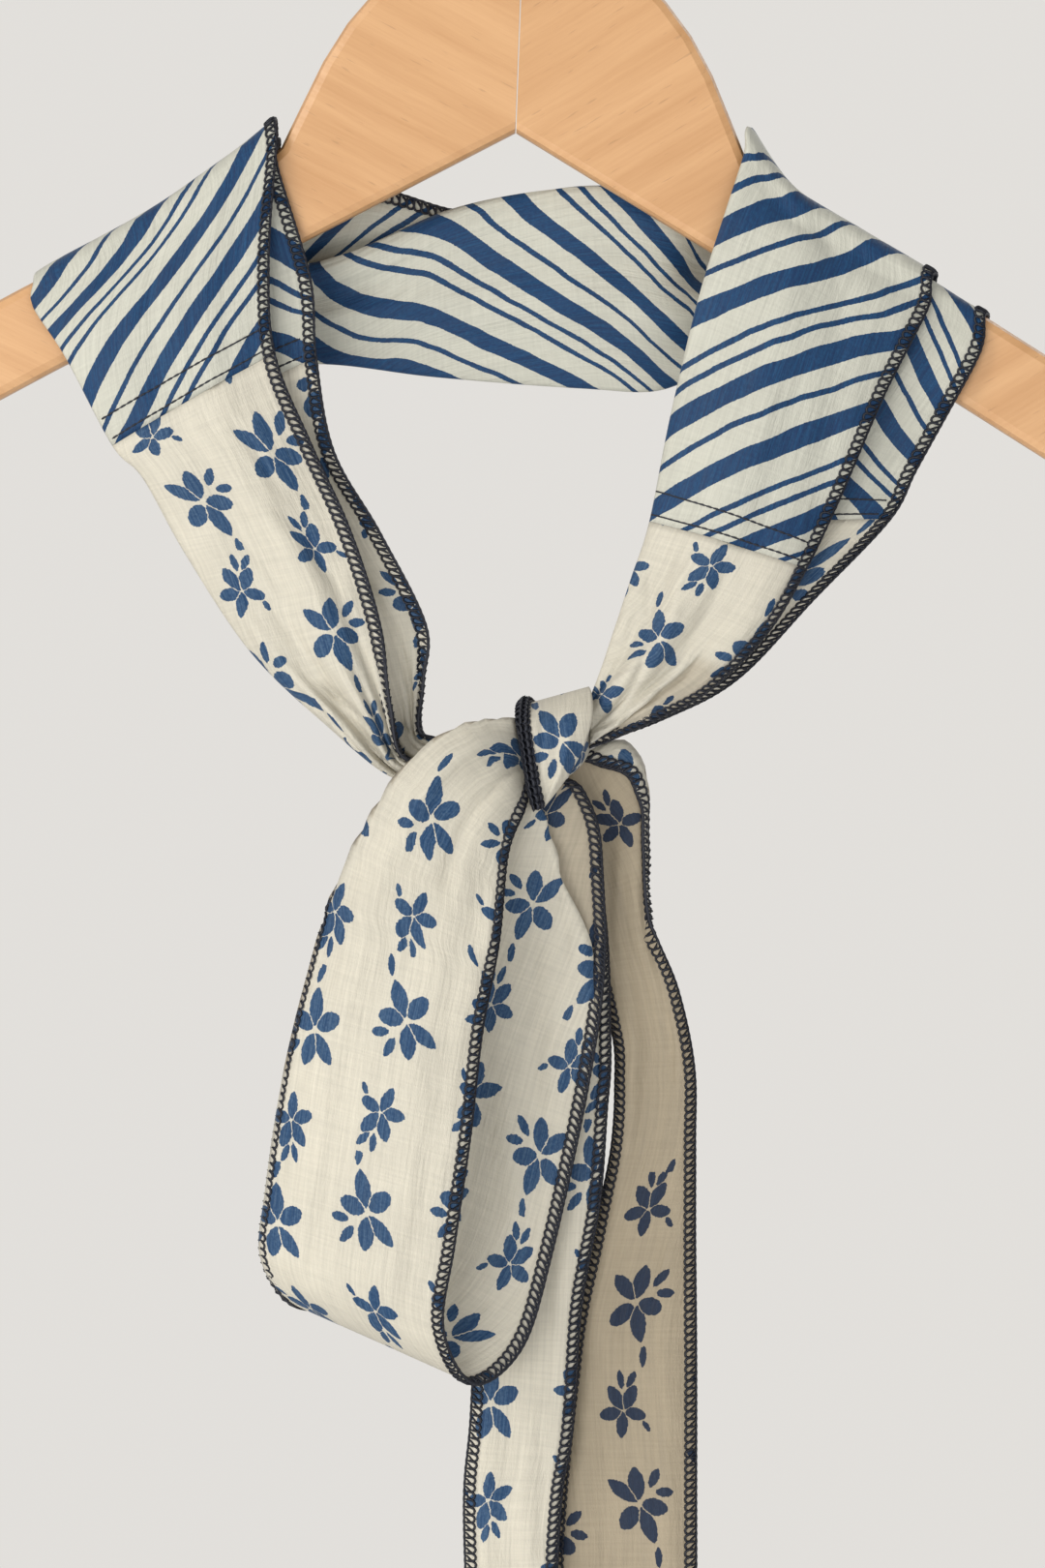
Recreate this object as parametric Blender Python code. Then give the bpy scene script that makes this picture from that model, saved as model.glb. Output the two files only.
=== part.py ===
"""A skinny scarf tied in a half bow round a wooden hanger.

Units in the tables are millimetres, with +Z up, +X to the viewer's right and the viewer at -Y.
The origin is the inner top of the hook, where a rail holds the hanger.

The scarf is one long strip. Round the neck it is folded in half lengthwise, so every neck section is a
hairpin: a fold, a layer A that ends in hem A and a layer B that ends in hem B. Below the knot the loop
and the two tails are single layers with a hem on both sides.
"""

import math

import bmesh
import bpy
from mathutils import Vector

MM = 0.001

# ---------------------------------------------------------------- driving sizes
WALL = 1.0              # thickness of every cloth wall
SEAM_GAP = 0.3          # space between two pieces that are sewn or lie together
SEAM_ROUND = 1.25       # allowance at a seam for the turn of the wall's normals
JOIN_ROUND = 3.0        # the same where one panel goes on out of sight, in a sharper turn
MOST_SEAM_SHARE = 0.08  # most of a row's step that a seam's gap may take up
LAYER_STEPS = 10        # faces across one layer of folded cloth
STRIP_STEPS = 10        # faces across a single layer
FOLD_PORTION = 0.10     # part of a layer that takes up the round of the fold
PLEATS = 2.0            # whole pleats across a gathered layer
RIPPLES = 1.5           # whole ripples across a single layer
STEPS_PER_ROW = 2       # sections of a solid for each row of its table
PROBE = 0.05            # a short way along a table, to measure its direction and its step

NOTCH_DROP = 135.0      # hook's inner top down to the notch under the hanger's middle
HANGER_TILT = math.radians(2.1)
HANGER_HALF_LENGTH = 222.0
HANGER_THICKNESS = 12.0
HANGER_ROUND = 3.0
ARM_SLOPE = math.tan(math.radians(29.4))
ARM_ROOT = (71.0, -9.0)                 # where the dome meets the arm, from the notch
DOME_SIDE = ((66.5, 5.0), (60.0, 19.5), (53.0, 31.5), (45.0, 41.5), (36.5, 50.0), (27.0, 57.5), (17.0, 63.5),
             (8.0, 67.0))
DOME_TOP = 68.0
TIP_ROUND = 9.0
TIP_TURN = (-105.0, 45.0)               # degrees at which the round of the tip starts and ends
TIP_STEPS = 6
LOWER_EDGE_X = (70.0, 140.0)            # corners of the outline along the arm's lower and upper edges
UPPER_EDGE_X = (150.0, 110.0, 77.0)
ROOT_ROUND = (1.0, 1.5)                 # a last corner just past the root, as the edge turns up the dome
ROUND_STEPS = 2
SHARP_ANGLE = math.radians(40)

HOOK_WIRE_RADIUS = 1.7
HOOK_INNER_RADIUS = 19.0
HOOK_NECK = ((2.3, 8.0), (2.0, 16.0), (3.4, 22.5))     # the wire's way up from its foot: (x, rise)
HOOK_TURN = (-62.0, 188.0)              # degrees at which the hook's round starts and ends
HOOK_STEPS = 22
HOOK_END = (-1.2, -7.0)                 # the straight end past the round

KNOT_CENTRE = (12.5, -25.0, -323.0)
KNOT_RADII = (9.5, 10.5, 10.0)
KNOT_SEGMENTS = (16, 10)

# ---------------------------------------------------------------- folded neck stretches
# Each row is a section across the folded strip, in order from the knot up the left front, over the left
# arm, behind the hanger, over the right arm and down the right front to the knot.
NECK_COLUMNS = (
    "fold_x", "fold_y", "fold_z",
    "a_x", "a_y", "a_z",
    "b_x", "b_y", "b_z",
    "gap", "belly_a", "belly_b", "pleat",
)
# The rows over an arm have three more values: how far the corner at the fold, hem A and hem B stand up.
ARM_COLUMNS = ("tip", "lift_a", "lift_b")
LEFT_FRONT = (
    (0.2, -20.0, -337.0, 1.2, -24.5, -322.0, 1.2, -20.0, -319.5, 2.6, 0.0, 0.0, 1.2),
    (-20.0, -19.0, -337.0, -17.0, -24.0, -327.0, -14.0, -18.0, -322.0, 3.0, 0.5, 0.0, 1.6),
    (-38.0, -18.0, -333.5, -33.6, -23.5, -327.5, -29.0, -17.0, -320.5, 3.2, 1.0, 0.0, 2.0),
    (-57.6, -17.0, -318.0, -38.2, -23.0, -311.4, -28.6, -16.0, -304.5, 3.4, 2.0, 0.0, 2.4),
    (-80.9, -15.0, -295.6, -41.8, -20.5, -287.1, -28.1, -15.0, -287.2, 3.4, 3.5, 0.0, 2.2),
    (-100.9, -13.0, -265.7, -51.0, -17.5, -258.3, -42.1, -13.0, -258.9, 3.2, 4.5, 0.0, 1.4),
    (-114.3, -12.0, -241.9, -63.0, -15.5, -232.0, -56.4, -11.5, -233.8, 3.0, 4.0, 0.0, 0.8),
)
LEFT_SEAM = (
    (-123.6, -11.5, -232.0, -74.3, -14.5, -204.0, -61.8, -10.8, -205.0, 2.8, 3.5, 0.0, 0.4),
)
LEFT_SHOULDER = (
    (-138.2, -10.5, -204.6, -76.1, -13.0, -174.7, -63.6, -10.2, -180.7, 2.6, 2.5, 0.0, 0.2),
)
BEHIND_LEFT = (
    (-126.0, 12.5, -203.0, -70.0, 15.0, -162.0, -69.0, 11.5, -166.0, 2.8, 1.0, 0.0, 0.6),
    (-92.0, 14.0, -207.0, -66.0, 18.0, -163.0, -66.5, 12.0, -174.0, 3.0, 1.5, 0.0, 1.6),
)
BEHIND = (
    (-59.0, 13.5, -205.5, -44.0, 18.0, -152.0, -54.0, 12.0, -172.0, 3.0, 2.0, 0.0, 1.6),
    (-25.0, 13.0, -209.5, -15.8, 16.5, -158.5, -15.8, 11.0, -156.8, 3.0, 2.5, 1.0, 1.0),
    (20.0, 12.5, -213.0, 21.5, 16.0, -157.0, 21.5, 11.0, -150.0, 3.0, 2.5, 1.5, 0.8),
    (47.0, 13.0, -213.0, 46.0, 18.0, -157.0, 45.0, 13.0, -154.5, 3.0, 2.0, 1.0, 1.4),
    (66.0, 12.5, -199.0, 66.0, 30.0, -172.0, 63.0, 27.0, -169.0, 3.4, 0.5, 0.5, 2.4),
)
BEHIND_RIGHT = (
    (76.0, 12.5, -174.0, 90.0, 27.0, -186.0, 88.0, 30.0, -184.0, 3.4, 0.5, 0.5, 2.2),
    (75.0, 11.0, -160.0, 124.0, 13.5, -197.0, 112.0, 15.5, -193.0, 2.8, 0.5, 0.5, 1.2),
)
RIGHT_SHOULDER = (
    (65.0, -11.5, -159.0, 141.0, -10.0, -206.0, 122.0, -12.5, -198.0, 2.6, 0.0, 1.5, 0.2),
    (56.4, -13.0, -186.6, 132.5, -11.0, -221.5, 111.9, -15.5, -218.0, 3.0, 0.0, 5.5, 0.3),
    (47.5, -14.5, -224.0, 122.5, -12.0, -239.5, 99.1, -18.0, -247.8, 3.2, 0.0, 8.0, 0.4),
)
RIGHT_SEAM = (
    (41.2, -16.0, -255.6, 114.5, -13.0, -254.5, 88.4, -20.0, -270.2, 3.2, 0.0, 7.5, 0.8),
)
RIGHT_FRONT = (
    (35.5, -17.0, -273.2, 91.0, -15.0, -279.0, 76.7, -21.5, -289.6, 3.2, 0.0, 6.0, 1.6),
    (30.6, -18.5, -288.0, 68.0, -17.0, -303.0, 60.3, -24.0, -306.0, 3.2, 0.0, 4.0, 2.2),
    (26.6, -21.0, -300.0, 46.0, -20.0, -315.0, 41.0, -26.5, -316.5, 3.0, 0.0, 2.0, 2.0),
    (23.2, -23.0, -309.0, 22.6, -21.0, -323.5, 22.6, -27.0, -324.5, 2.6, 0.0, 0.0, 1.0),
)

# How the strip rounds the top of an arm: its distance in front of (-) or behind (+) the arm's middle,
# and its height over the arm's upper edge. In front it also slips down the arm's slope, by a share of the
# distance.
ARM_WRAP = ((-8.8, -8.0), (-7.4, -0.9), (-4.2, 1.7), (0.0, 2.1), (4.2, 1.7), (7.4, -0.9), (8.8, -8.0))
ARM_WRAP_GAP = 1.6
LEFT_CROSSING = {
    "fold_x": -148.2, "a_x": -74.0, "b_x": -73.6, "slip": 0.0, "tip": 0.0, "lift_a": 9.0, "lift_b": 4.0,
}
RIGHT_CROSSING = {
    "fold_x": 72.8, "a_x": 146.0, "b_x": 129.2, "slip": 0.28, "tip": 12.0, "lift_a": 0.0, "lift_b": 0.8,
}
TIP_PORTION = 0.30      # part of a layer that the standing corner takes up
LIFT_POWER = 3.0        # how late across a layer its hem starts to stand up

# ---------------------------------------------------------------- single stretches below the knot
# Each row is a section: its left edge, its right edge, how far its middle stands forward, and its ripple.
STRIP_COLUMNS = (
    "left_x", "left_y", "left_z",
    "right_x", "right_y", "right_z",
    "belly", "ripple",
)
BOW_LOOP = (
    (-0.3, -32.0, -315.5, 3.8, -31.5, -336.5, 0.5, 0.4),
    (-18.0, -42.0, -318.4, 2.4, -38.0, -343.4, 4.0, 1.4),
    (-36.0, -45.0, -332.5, -2.7, -46.0, -357.0, 6.0, 1.4),
    (-53.7, -47.0, -363.4, -5.4, -53.0, -383.7, 7.0, 1.2),
    (-63.6, -50.0, -395.6, -10.4, -58.0, -410.5, 7.0, 1.0),
    (-70.4, -52.0, -425.4, -14.0, -60.5, -441.9, 6.0, 0.8),
    (-75.5, -53.0, -458.3, -18.8, -60.0, -474.7, 4.5, 0.6),
    (-77.0, -51.0, -479.2, -22.1, -57.0, -500.1, 3.0, 0.4),
    (-66.6, -44.0, -493.3, -12.8, -45.5, -517.4, 0.0, 0.2),
    (-48.0, -37.0, -482.0, 1.5, -35.5, -507.3, -2.0, 0.2),
    (-38.0, -35.0, -458.0, 10.4, -31.5, -479.5, -2.5, 0.4),
    (-26.0, -34.0, -410.0, 21.5, -30.0, -428.7, -2.5, 0.6),
    (-13.0, -35.0, -376.0, 26.6, -31.0, -392.0, -1.5, 0.8),
    (-7.5, -35.0, -360.0, 26.0, -31.0, -362.0, -0.5, 0.6),
    (-4.0, -35.0, -350.0, 24.5, -30.5, -348.0, 0.0, 0.4),
    (0.0, -33.5, -341.0, 19.6, -29.5, -337.0, 0.0, 0.3),
    (4.0, -32.0, -336.6, 15.5, -28.5, -334.6, 0.0, 0.2),
)
TAIL_LEFT = (
    (7.0, -22.5, -341.5, 17.5, -22.5, -340.0, 0.5, 0.6),
    (4.0, -23.0, -372.0, 26.0, -22.5, -369.0, 1.2, 1.0),
    (-4.0, -22.5, -405.7, 28.4, -22.0, -405.7, 1.6, 1.0),
    (-8.4, -22.0, -434.4, 26.0, -22.0, -434.4, 1.6, 0.8),
    (-10.7, -21.5, -463.1, 23.3, -22.0, -463.1, 1.4, 0.8),
    (-12.0, -21.0, -495.7, 17.6, -21.5, -495.7, 1.4, 0.8),
    (-13.4, -21.0, -530.0, 15.0, -21.0, -534.0, 1.4, 0.8),
    (-15.4, -21.0, -553.8, 12.6, -21.0, -553.8, 1.2, 0.6),
    (-14.6, -21.0, -590.0, 11.2, -21.0, -590.0, 1.2, 0.6),
    (-13.6, -21.0, -637.0, 12.4, -21.0, -637.0, 1.0, 0.6),
)
TAIL_RIGHT = (
    (13.5, -17.0, -337.5, 21.6, -18.0, -326.0, 0.4, 0.3),
    (15.0, -16.0, -343.0, 33.4, -17.5, -322.4, 1.0, 0.6),
    (17.5, -15.5, -350.5, 40.3, -17.5, -333.5, 1.5, 0.8),
    (19.5, -15.0, -364.0, 40.8, -17.0, -354.0, 1.8, 1.0),
    (22.5, -15.0, -383.0, 41.6, -16.5, -378.0, 1.8, 1.0),
    (27.5, -14.5, -401.0, 49.4, -16.5, -399.0, 1.6, 1.0),
    (31.6, -14.0, -423.1, 54.3, -16.0, -422.5, 1.6, 1.0),
    (30.7, -13.5, -445.8, 54.6, -15.5, -445.8, 1.6, 0.8),
    (24.8, -13.0, -474.7, 54.6, -15.0, -474.7, 1.6, 0.8),
    (20.0, -13.0, -512.0, 54.9, -15.0, -512.0, 1.5, 0.8),
    (16.1, -13.0, -552.7, 54.9, -15.0, -552.7, 1.4, 0.8),
    (14.6, -13.0, -590.0, 54.9, -15.0, -590.0, 1.2, 0.6),
    (13.6, -13.0, -655.0, 54.4, -15.0, -655.0, 1.0, 0.6),
)
KNOT_WRAP = (
    (3.5, -14.0, -314.0, 19.0, -14.0, -311.5, -1.0, 0.4),
    (1.4, -24.0, -312.2, 22.4, -24.5, -306.4, 1.0, 0.5),
    (1.2, -34.5, -317.0, 23.4, -34.0, -314.5, 2.2, 0.8),
    (2.8, -37.5, -326.0, 20.4, -36.5, -325.0, 2.4, 0.8),
    (4.4, -38.0, -336.5, 15.4, -36.5, -334.0, 1.8, 0.6),
    (6.2, -36.5, -343.4, 8.6, -36.5, -342.8, 0.4, 0.2),
)


# ---------------------------------------------------------------- helpers
def clear_scene():
    for old in list(bpy.data.objects):
        bpy.data.objects.remove(old, do_unlink=True)


def material(name, colour, roughness, metallic=0.0):
    """A Principled material of one colour."""
    made = bpy.data.materials.new(name)
    made.use_nodes = True
    shader = made.node_tree.nodes["Principled BSDF"]
    shader.inputs["Base Color"].default_value = (*colour, 1.0)
    shader.inputs["Roughness"].default_value = roughness
    shader.inputs["Metallic"].default_value = metallic
    made.diffuse_color = (*colour, 1.0)
    return made


def add_object(name, points, faces, finish):
    """A mesh object from points in millimetres, shaded smooth."""
    mesh = bpy.data.meshes.new(name)
    mesh.from_pydata([Vector(point) * MM for point in points], [], faces)
    mesh.validate()
    shape = bmesh.new()
    shape.from_mesh(mesh)
    bmesh.ops.recalc_face_normals(shape, faces=shape.faces)
    shape.to_mesh(mesh)
    shape.free()
    mesh.shade_smooth()
    mesh.materials.append(finish)
    made = bpy.data.objects.new(name, mesh)
    bpy.context.scene.collection.objects.link(made)
    return made


def smooth_value(before, start, end, after, part):
    """The Catmull-Rom curve between start and end."""
    slope_in = (end - before) / 2
    slope_out = (after - start) / 2
    rest = end - start
    cubic = slope_in + slope_out - 2 * rest
    square = 3 * rest - 2 * slope_in - slope_out
    return ((cubic * part + square) * part + slope_in) * part + start


def row_at(rows, place):
    """The row at a place along the table, smoothed between its rows."""
    last = len(rows) - 1
    index = min(int(place), last - 1)
    part = place - index
    before = rows[max(index - 1, 0)]
    after = rows[min(index + 2, last)]
    return [
        smooth_value(*values, part)
        for values in zip(before, rows[index], rows[index + 1], after)
    ]


def unit(vector):
    return vector.normalized() if vector.length > 1e-9 else Vector((0, 0, 1))


def wall_from_grid(grid, thickness):
    """Points and faces of a closed wall, half its thickness to each side of a grid of points."""
    long = len(grid)
    across = len(grid[0])
    outer = []
    inner = []
    for i in range(long):
        for j in range(across):
            along = grid[min(i + 1, long - 1)][j] - grid[max(i - 1, 0)][j]
            side = grid[i][min(j + 1, across - 1)] - grid[i][max(j - 1, 0)]
            offset = unit(along.cross(side)) * thickness / 2
            outer.append(grid[i][j] + offset)
            inner.append(grid[i][j] - offset)
    count = long * across
    faces = []
    for i in range(long - 1):
        for j in range(across - 1):
            corner = i * across + j
            ring = (corner, corner + 1, corner + across + 1, corner + across)
            faces.append(ring)
            faces.append(tuple(count + index for index in reversed(ring)))
    rim = [j for j in range(across)]
    rim += [i * across + across - 1 for i in range(1, long)]
    rim += [(long - 1) * across + j for j in range(across - 2, -1, -1)]
    rim += [i * across for i in range(long - 2, 0, -1)]
    for here, following in zip(rim, rim[1:] + rim[:1]):
        faces.append((following, here, count + here, count + following))
    return outer + inner, faces


# ---------------------------------------------------------------- folded stretches
def fold_round(part):
    """How far a layer has opened from the fold: 0 at the fold and 1 past its round."""
    if part >= FOLD_PORTION:
        return 1.0
    return math.sqrt(1.0 - (1.0 - part / FOLD_PORTION) ** 2)


def layer_parts():
    """Places across a layer from its hem (1) to the fold (0), closer together round the fold."""
    flat = [1.0 - (1.0 - FOLD_PORTION) * step / (LAYER_STEPS - 2) for step in range(LAYER_STEPS - 1)]
    return flat + [FOLD_PORTION * 0.3]


def folded_section(row, along):
    """Points across a folded strip, from hem A round the fold to hem B."""
    fold = Vector(row[0:3])
    hems = (Vector(row[3:6]), Vector(row[6:9]))
    gap, belly_a, belly_b, pleat, tip, lift_a, lift_b = row[9:16]
    across = unit((hems[0] + hems[1]) / 2 - fold)
    normal = unit(across.cross(along))
    points = []
    for hem, sign, belly, lift in ((hems[0], 1.0, belly_a, lift_a), (hems[1], -1.0, belly_b, lift_b)):
        layer = []
        for part in layer_parts():
            lean = fold_round(part) * gap / 2 + belly * math.sin(math.pi * part)
            wave = pleat * math.sin(2 * math.pi * PLEATS * part) * min(1.0, part / FOLD_PORTION / 2)
            stand = tip * max(0.0, 1.0 - part / TIP_PORTION) ** 2 + lift * part ** LIFT_POWER
            flat = fold + (hem - fold) * part
            layer.append(flat + normal * (sign * lean + wave) + Vector((0.0, 0.0, stand)))
        points.append(layer)
    return points[0] + [fold + Vector((0.0, 0.0, tip))] + points[1][::-1]


def arm_top(x):
    """Height of the hanger's tilted upper edge at x."""
    side = 1.0 if x > 0 else -1.0
    near = tilted(side * ARM_ROOT[0], ARM_ROOT[1])
    far_drop = ARM_ROOT[1] - ARM_SLOPE * (HANGER_HALF_LENGTH - ARM_ROOT[0])
    far = tilted(side * HANGER_HALF_LENGTH, far_drop)
    return near[1] + (far[1] - near[1]) * (x - near[0]) / (far[0] - near[0])


def tilted(x, z):
    """A point of the hanger, given from its notch, after the hanger's tilt."""
    turned_x = x * math.cos(HANGER_TILT) + z * math.sin(HANGER_TILT)
    turned_z = z * math.cos(HANGER_TILT) - x * math.sin(HANGER_TILT)
    return turned_x, turned_z - NOTCH_DROP


def crossing_rows(crossing, forward):
    """Rows that carry the folded strip over an arm, from the front when forward is true."""
    wraps = ARM_WRAP if forward else ARM_WRAP[::-1]
    rows = []
    for depth, rise in wraps:
        row = []
        for edge in ("fold_x", "a_x", "b_x"):
            x = crossing[edge] + crossing["slip"] * min(0.0, depth)
            row += [x, depth, arm_top(x) + rise]
        shape = (ARM_WRAP_GAP, 0.0, 0.0, 0.0) + tuple(crossing[name] for name in ARM_COLUMNS)
        rows.append(tuple(row) + shape)
    return tuple(rows)


def neck_table():
    """All rows of the folded strip, and the place of the first row of each stretch."""
    over_left = LEFT_SHOULDER + crossing_rows(LEFT_CROSSING, True) + BEHIND_LEFT
    over_right = BEHIND_RIGHT + crossing_rows(RIGHT_CROSSING, False) + RIGHT_SHOULDER + RIGHT_SEAM
    stretches = (
        ("left_front_floral", LEFT_FRONT + LEFT_SEAM, SEAM_ROUND),
        ("left_shoulder_striped", over_left, JOIN_ROUND),
        ("back_neck_striped", BEHIND, JOIN_ROUND),
        ("right_shoulder_striped", over_right, SEAM_ROUND),
        ("right_front_floral", RIGHT_FRONT, SEAM_ROUND),
    )
    rows = []
    spans = []
    for name, part, end_round in stretches:
        spans.append((name, max(len(rows) - 1, 0), len(rows) + len(part) - 1, end_round))
        plain = (0.0,) * len(ARM_COLUMNS)
        rows += [row if len(row) > len(NECK_COLUMNS) else row + plain for row in part]
    return rows, spans


def add_neck_stretches(finishes):
    rows, spans = neck_table()
    start_round = SEAM_ROUND
    for name, start, end, end_round in spans:
        places = [start + step / STEPS_PER_ROW for step in range((end - start) * STEPS_PER_ROW + 1)]
        if start > 0:
            places[0] += seam_share(rows, start, 1) * start_round
        if end < len(rows) - 1:
            places[-1] -= seam_share(rows, end, -1) * end_round
        start_round = end_round
        grid = []
        for place in places:
            ahead = middle(row_at(rows, min(place + PROBE, len(rows) - 1)))
            behind = middle(row_at(rows, max(place - PROBE, 0)))
            grid.append(folded_section(row_at(rows, place), unit(ahead - behind)))
        points, faces = wall_from_grid(grid, WALL)
        add_object(name, points, faces, finishes[name])


def middle(row):
    """Middle of a folded section."""
    return (Vector(row[0:3]) * 2 + Vector(row[3:6]) + Vector(row[6:9])) / 4


def seam_share(rows, place, direction):
    """Share of a row's step that is half of the gap at a seam, measured where the rows are closest."""
    near = row_at(rows, place + direction * 2 * PROBE)
    steps = [
        (Vector(near[edge:edge + 3]) - Vector(rows[place][edge:edge + 3])).length / (2 * PROBE)
        for edge in (0, 3, 6)
    ]
    return min(MOST_SEAM_SHARE, SEAM_GAP / 2 / min(steps))


# ---------------------------------------------------------------- single stretches
def strip_section(row):
    """Points across a single layer, from its left edge to its right edge."""
    named = dict(zip(STRIP_COLUMNS, row))
    left = Vector(row[0:3])
    right = Vector(row[3:6])
    points = []
    for step in range(STRIP_STEPS + 1):
        part = step / STRIP_STEPS
        forward = named["belly"] * math.sin(math.pi * part)
        forward += named["ripple"] * math.sin(2 * math.pi * RIPPLES * part)
        points.append(left.lerp(right, part) + Vector((0.0, -forward, 0.0)))
    return points


def add_strip(name, table, finish):
    places = [step / STEPS_PER_ROW for step in range((len(table) - 1) * STEPS_PER_ROW + 1)]
    grid = [strip_section(row_at(table, place)) for place in places]
    points, faces = wall_from_grid(grid, WALL)
    return add_object(name, points, faces, finish)


# ---------------------------------------------------------------- knot, hanger and hook
def add_knot_core(finish):
    """The hidden layers inside the knot, as one rounded solid."""
    shape = bmesh.new()
    around, up = KNOT_SEGMENTS
    bmesh.ops.create_uvsphere(shape, u_segments=around, v_segments=up, radius=1.0)
    for vertex in shape.verts:
        vertex.co = Vector(
            KNOT_CENTRE[axis] + KNOT_RADII[axis] * vertex.co[axis] for axis in range(3)
        ) * MM
    mesh = bpy.data.meshes.new("knot_core")
    shape.to_mesh(mesh)
    shape.free()
    mesh.shade_smooth()
    mesh.materials.append(finish)
    made = bpy.data.objects.new("knot_core", mesh)
    bpy.context.scene.collection.objects.link(made)


def hanger_outline():
    """Outline of the right half, from the notch round the tip to the top, as (x, z) from the notch."""
    lower_tip = -ARM_SLOPE * HANGER_HALF_LENGTH
    upper_tip = ARM_ROOT[1] - ARM_SLOPE * (HANGER_HALF_LENGTH - ARM_ROOT[0])
    start_x = SEAM_GAP / 2
    outline = [(start_x, -ARM_SLOPE * start_x)]
    outline += [(x, -ARM_SLOPE * x) for x in LOWER_EDGE_X]
    centre = Vector((HANGER_HALF_LENGTH - TIP_ROUND, (lower_tip + upper_tip) / 2 + TIP_ROUND * 0.5))
    half = (upper_tip - lower_tip) / 2
    for step in range(TIP_STEPS + 1):
        angle = math.radians(TIP_TURN[0] + (TIP_TURN[1] - TIP_TURN[0]) * step / TIP_STEPS)
        outline.append((centre.x + TIP_ROUND * math.cos(angle), centre.y + half * math.sin(angle)))
    outline += [(x, ARM_ROOT[1] - ARM_SLOPE * (x - ARM_ROOT[0])) for x in UPPER_EDGE_X]
    outline.append((ARM_ROOT[0] + ROOT_ROUND[0], ARM_ROOT[1] + ROOT_ROUND[1]))
    outline += list(DOME_SIDE)
    outline.append((start_x, DOME_TOP))
    return outline


def inset_outline(outline, inset):
    """The outline moved inwards; its two ends stay on the glue line."""
    moved = []
    for index, (x, z) in enumerate(outline):
        here = Vector((x, z))
        if index in (0, len(outline) - 1):
            moved.append((x, z + (inset if index == 0 else -inset)))
            continue
        before = (here - Vector(outline[index - 1])).normalized()
        after = (Vector(outline[index + 1]) - here).normalized()
        inward = Vector((-before.y - after.y, before.x + after.x)).normalized()
        spread = max(0.5, inward.dot(Vector((-after.y, after.x))))
        shifted = here + inward * inset / spread
        moved.append((shifted.x, shifted.y))
    return moved


def add_hanger_half(name, side, finish):
    """Half of the hanger, with its front and back edges rounded, placed by the object's rotation."""
    outline = hanger_outline()
    half = HANGER_THICKNESS / 2
    rings = []
    for step in range(ROUND_STEPS + 1):
        angle = math.pi / 2 * step / ROUND_STEPS
        rings.append((HANGER_ROUND * (1 - math.sin(angle)), half - HANGER_ROUND * (1 - math.cos(angle))))
    profile = [(inset, -depth) for inset, depth in rings] + [(inset, depth) for inset, depth in rings[::-1]]
    points = []
    for inset, depth in profile:
        points += [(side * x, depth, z) for x, z in inset_outline(outline, inset)]
    count = len(outline)
    faces = []
    for ring in range(len(profile) - 1):
        for index in range(count):
            following = (index + 1) % count
            faces.append((ring * count + index, ring * count + following,
                          (ring + 1) * count + following, (ring + 1) * count + index))
    faces.append(tuple(range(count)))
    faces.append(tuple((len(profile) - 1) * count + index for index in range(count)))
    made = add_object(name, points, faces, finish)
    made.data.set_sharp_from_angle(angle=SHARP_ANGLE)
    made.rotation_euler = (0.0, HANGER_TILT, 0.0)
    made.location = (0.0, 0.0, -NOTCH_DROP * MM)


def hook_points():
    """Centre line of the hook's wire, from just over the wood to its free end."""
    foot = tilted(0.0, DOME_TOP + SEAM_GAP)
    radius = HOOK_INNER_RADIUS + HOOK_WIRE_RADIUS
    points = [foot] + [(x, foot[1] + rise) for x, rise in HOOK_NECK]
    for step in range(HOOK_STEPS + 1):
        angle = math.radians(HOOK_TURN[0] + (HOOK_TURN[1] - HOOK_TURN[0]) * step / HOOK_STEPS)
        points.append((radius * math.cos(angle), -HOOK_INNER_RADIUS + radius * math.sin(angle)))
    points.append((-radius + HOOK_END[0], -HOOK_INNER_RADIUS + HOOK_END[1]))
    return points


def add_hook(finish):
    curve = bpy.data.curves.new("hook", "CURVE")
    curve.dimensions = "3D"
    curve.bevel_depth = HOOK_WIRE_RADIUS * MM
    curve.bevel_resolution = 2
    curve.use_fill_caps = True
    points = hook_points()
    line = curve.splines.new("POLY")
    line.points.add(len(points) - 1)
    for place, (x, z) in zip(line.points, points):
        place.co = (x * MM, 0.0, z * MM, 1.0)
    curve.materials.append(finish)
    made = bpy.data.objects.new("hook", curve)
    bpy.context.scene.collection.objects.link(made)


# ---------------------------------------------------------------- the part
def build():
    clear_scene()
    striped = material("striped_cloth", (0.33, 0.42, 0.50), 0.7)
    floral = material("floral_cloth", (0.72, 0.68, 0.55), 0.65)
    floral_shade = material("floral_cloth_behind", (0.58, 0.53, 0.42), 0.65)
    wood_left = material("wood_left", (0.74, 0.47, 0.26), 0.45)
    wood_right = material("wood_right", (0.70, 0.44, 0.24), 0.45)
    steel = material("steel_wire", (0.62, 0.62, 0.62), 0.3, 1.0)

    add_neck_stretches({
        "left_front_floral": floral,
        "left_shoulder_striped": striped,
        "back_neck_striped": striped,
        "right_shoulder_striped": striped,
        "right_front_floral": floral,
    })
    add_strip("bow_loop", BOW_LOOP, floral)
    add_strip("tail_left", TAIL_LEFT, floral)
    add_strip("tail_right", TAIL_RIGHT, floral_shade)
    add_strip("knot_wrap", KNOT_WRAP, floral)
    add_knot_core(floral)
    add_hanger_half("hanger_left_half", -1.0, wood_left)
    add_hanger_half("hanger_right_half", 1.0, wood_right)
    add_hook(steel)


build()
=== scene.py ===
"""Looks of a skinny scarf tied in a half bow round a wooden hanger.

The tables are in millimetres in the frame's axes: +Z up, +X to the viewer's right, the viewer at -Y, and
the origin at the hook's inner top. They are the cloth solids' own tables, walked in finer steps, with
creases laid on top. Cloth coordinates (u along the strip, v across it, both in millimetres) are kept in
a UV layer, and the stripes, the small flowers and the weave are drawn from them.
"""

import bisect
import math

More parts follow.
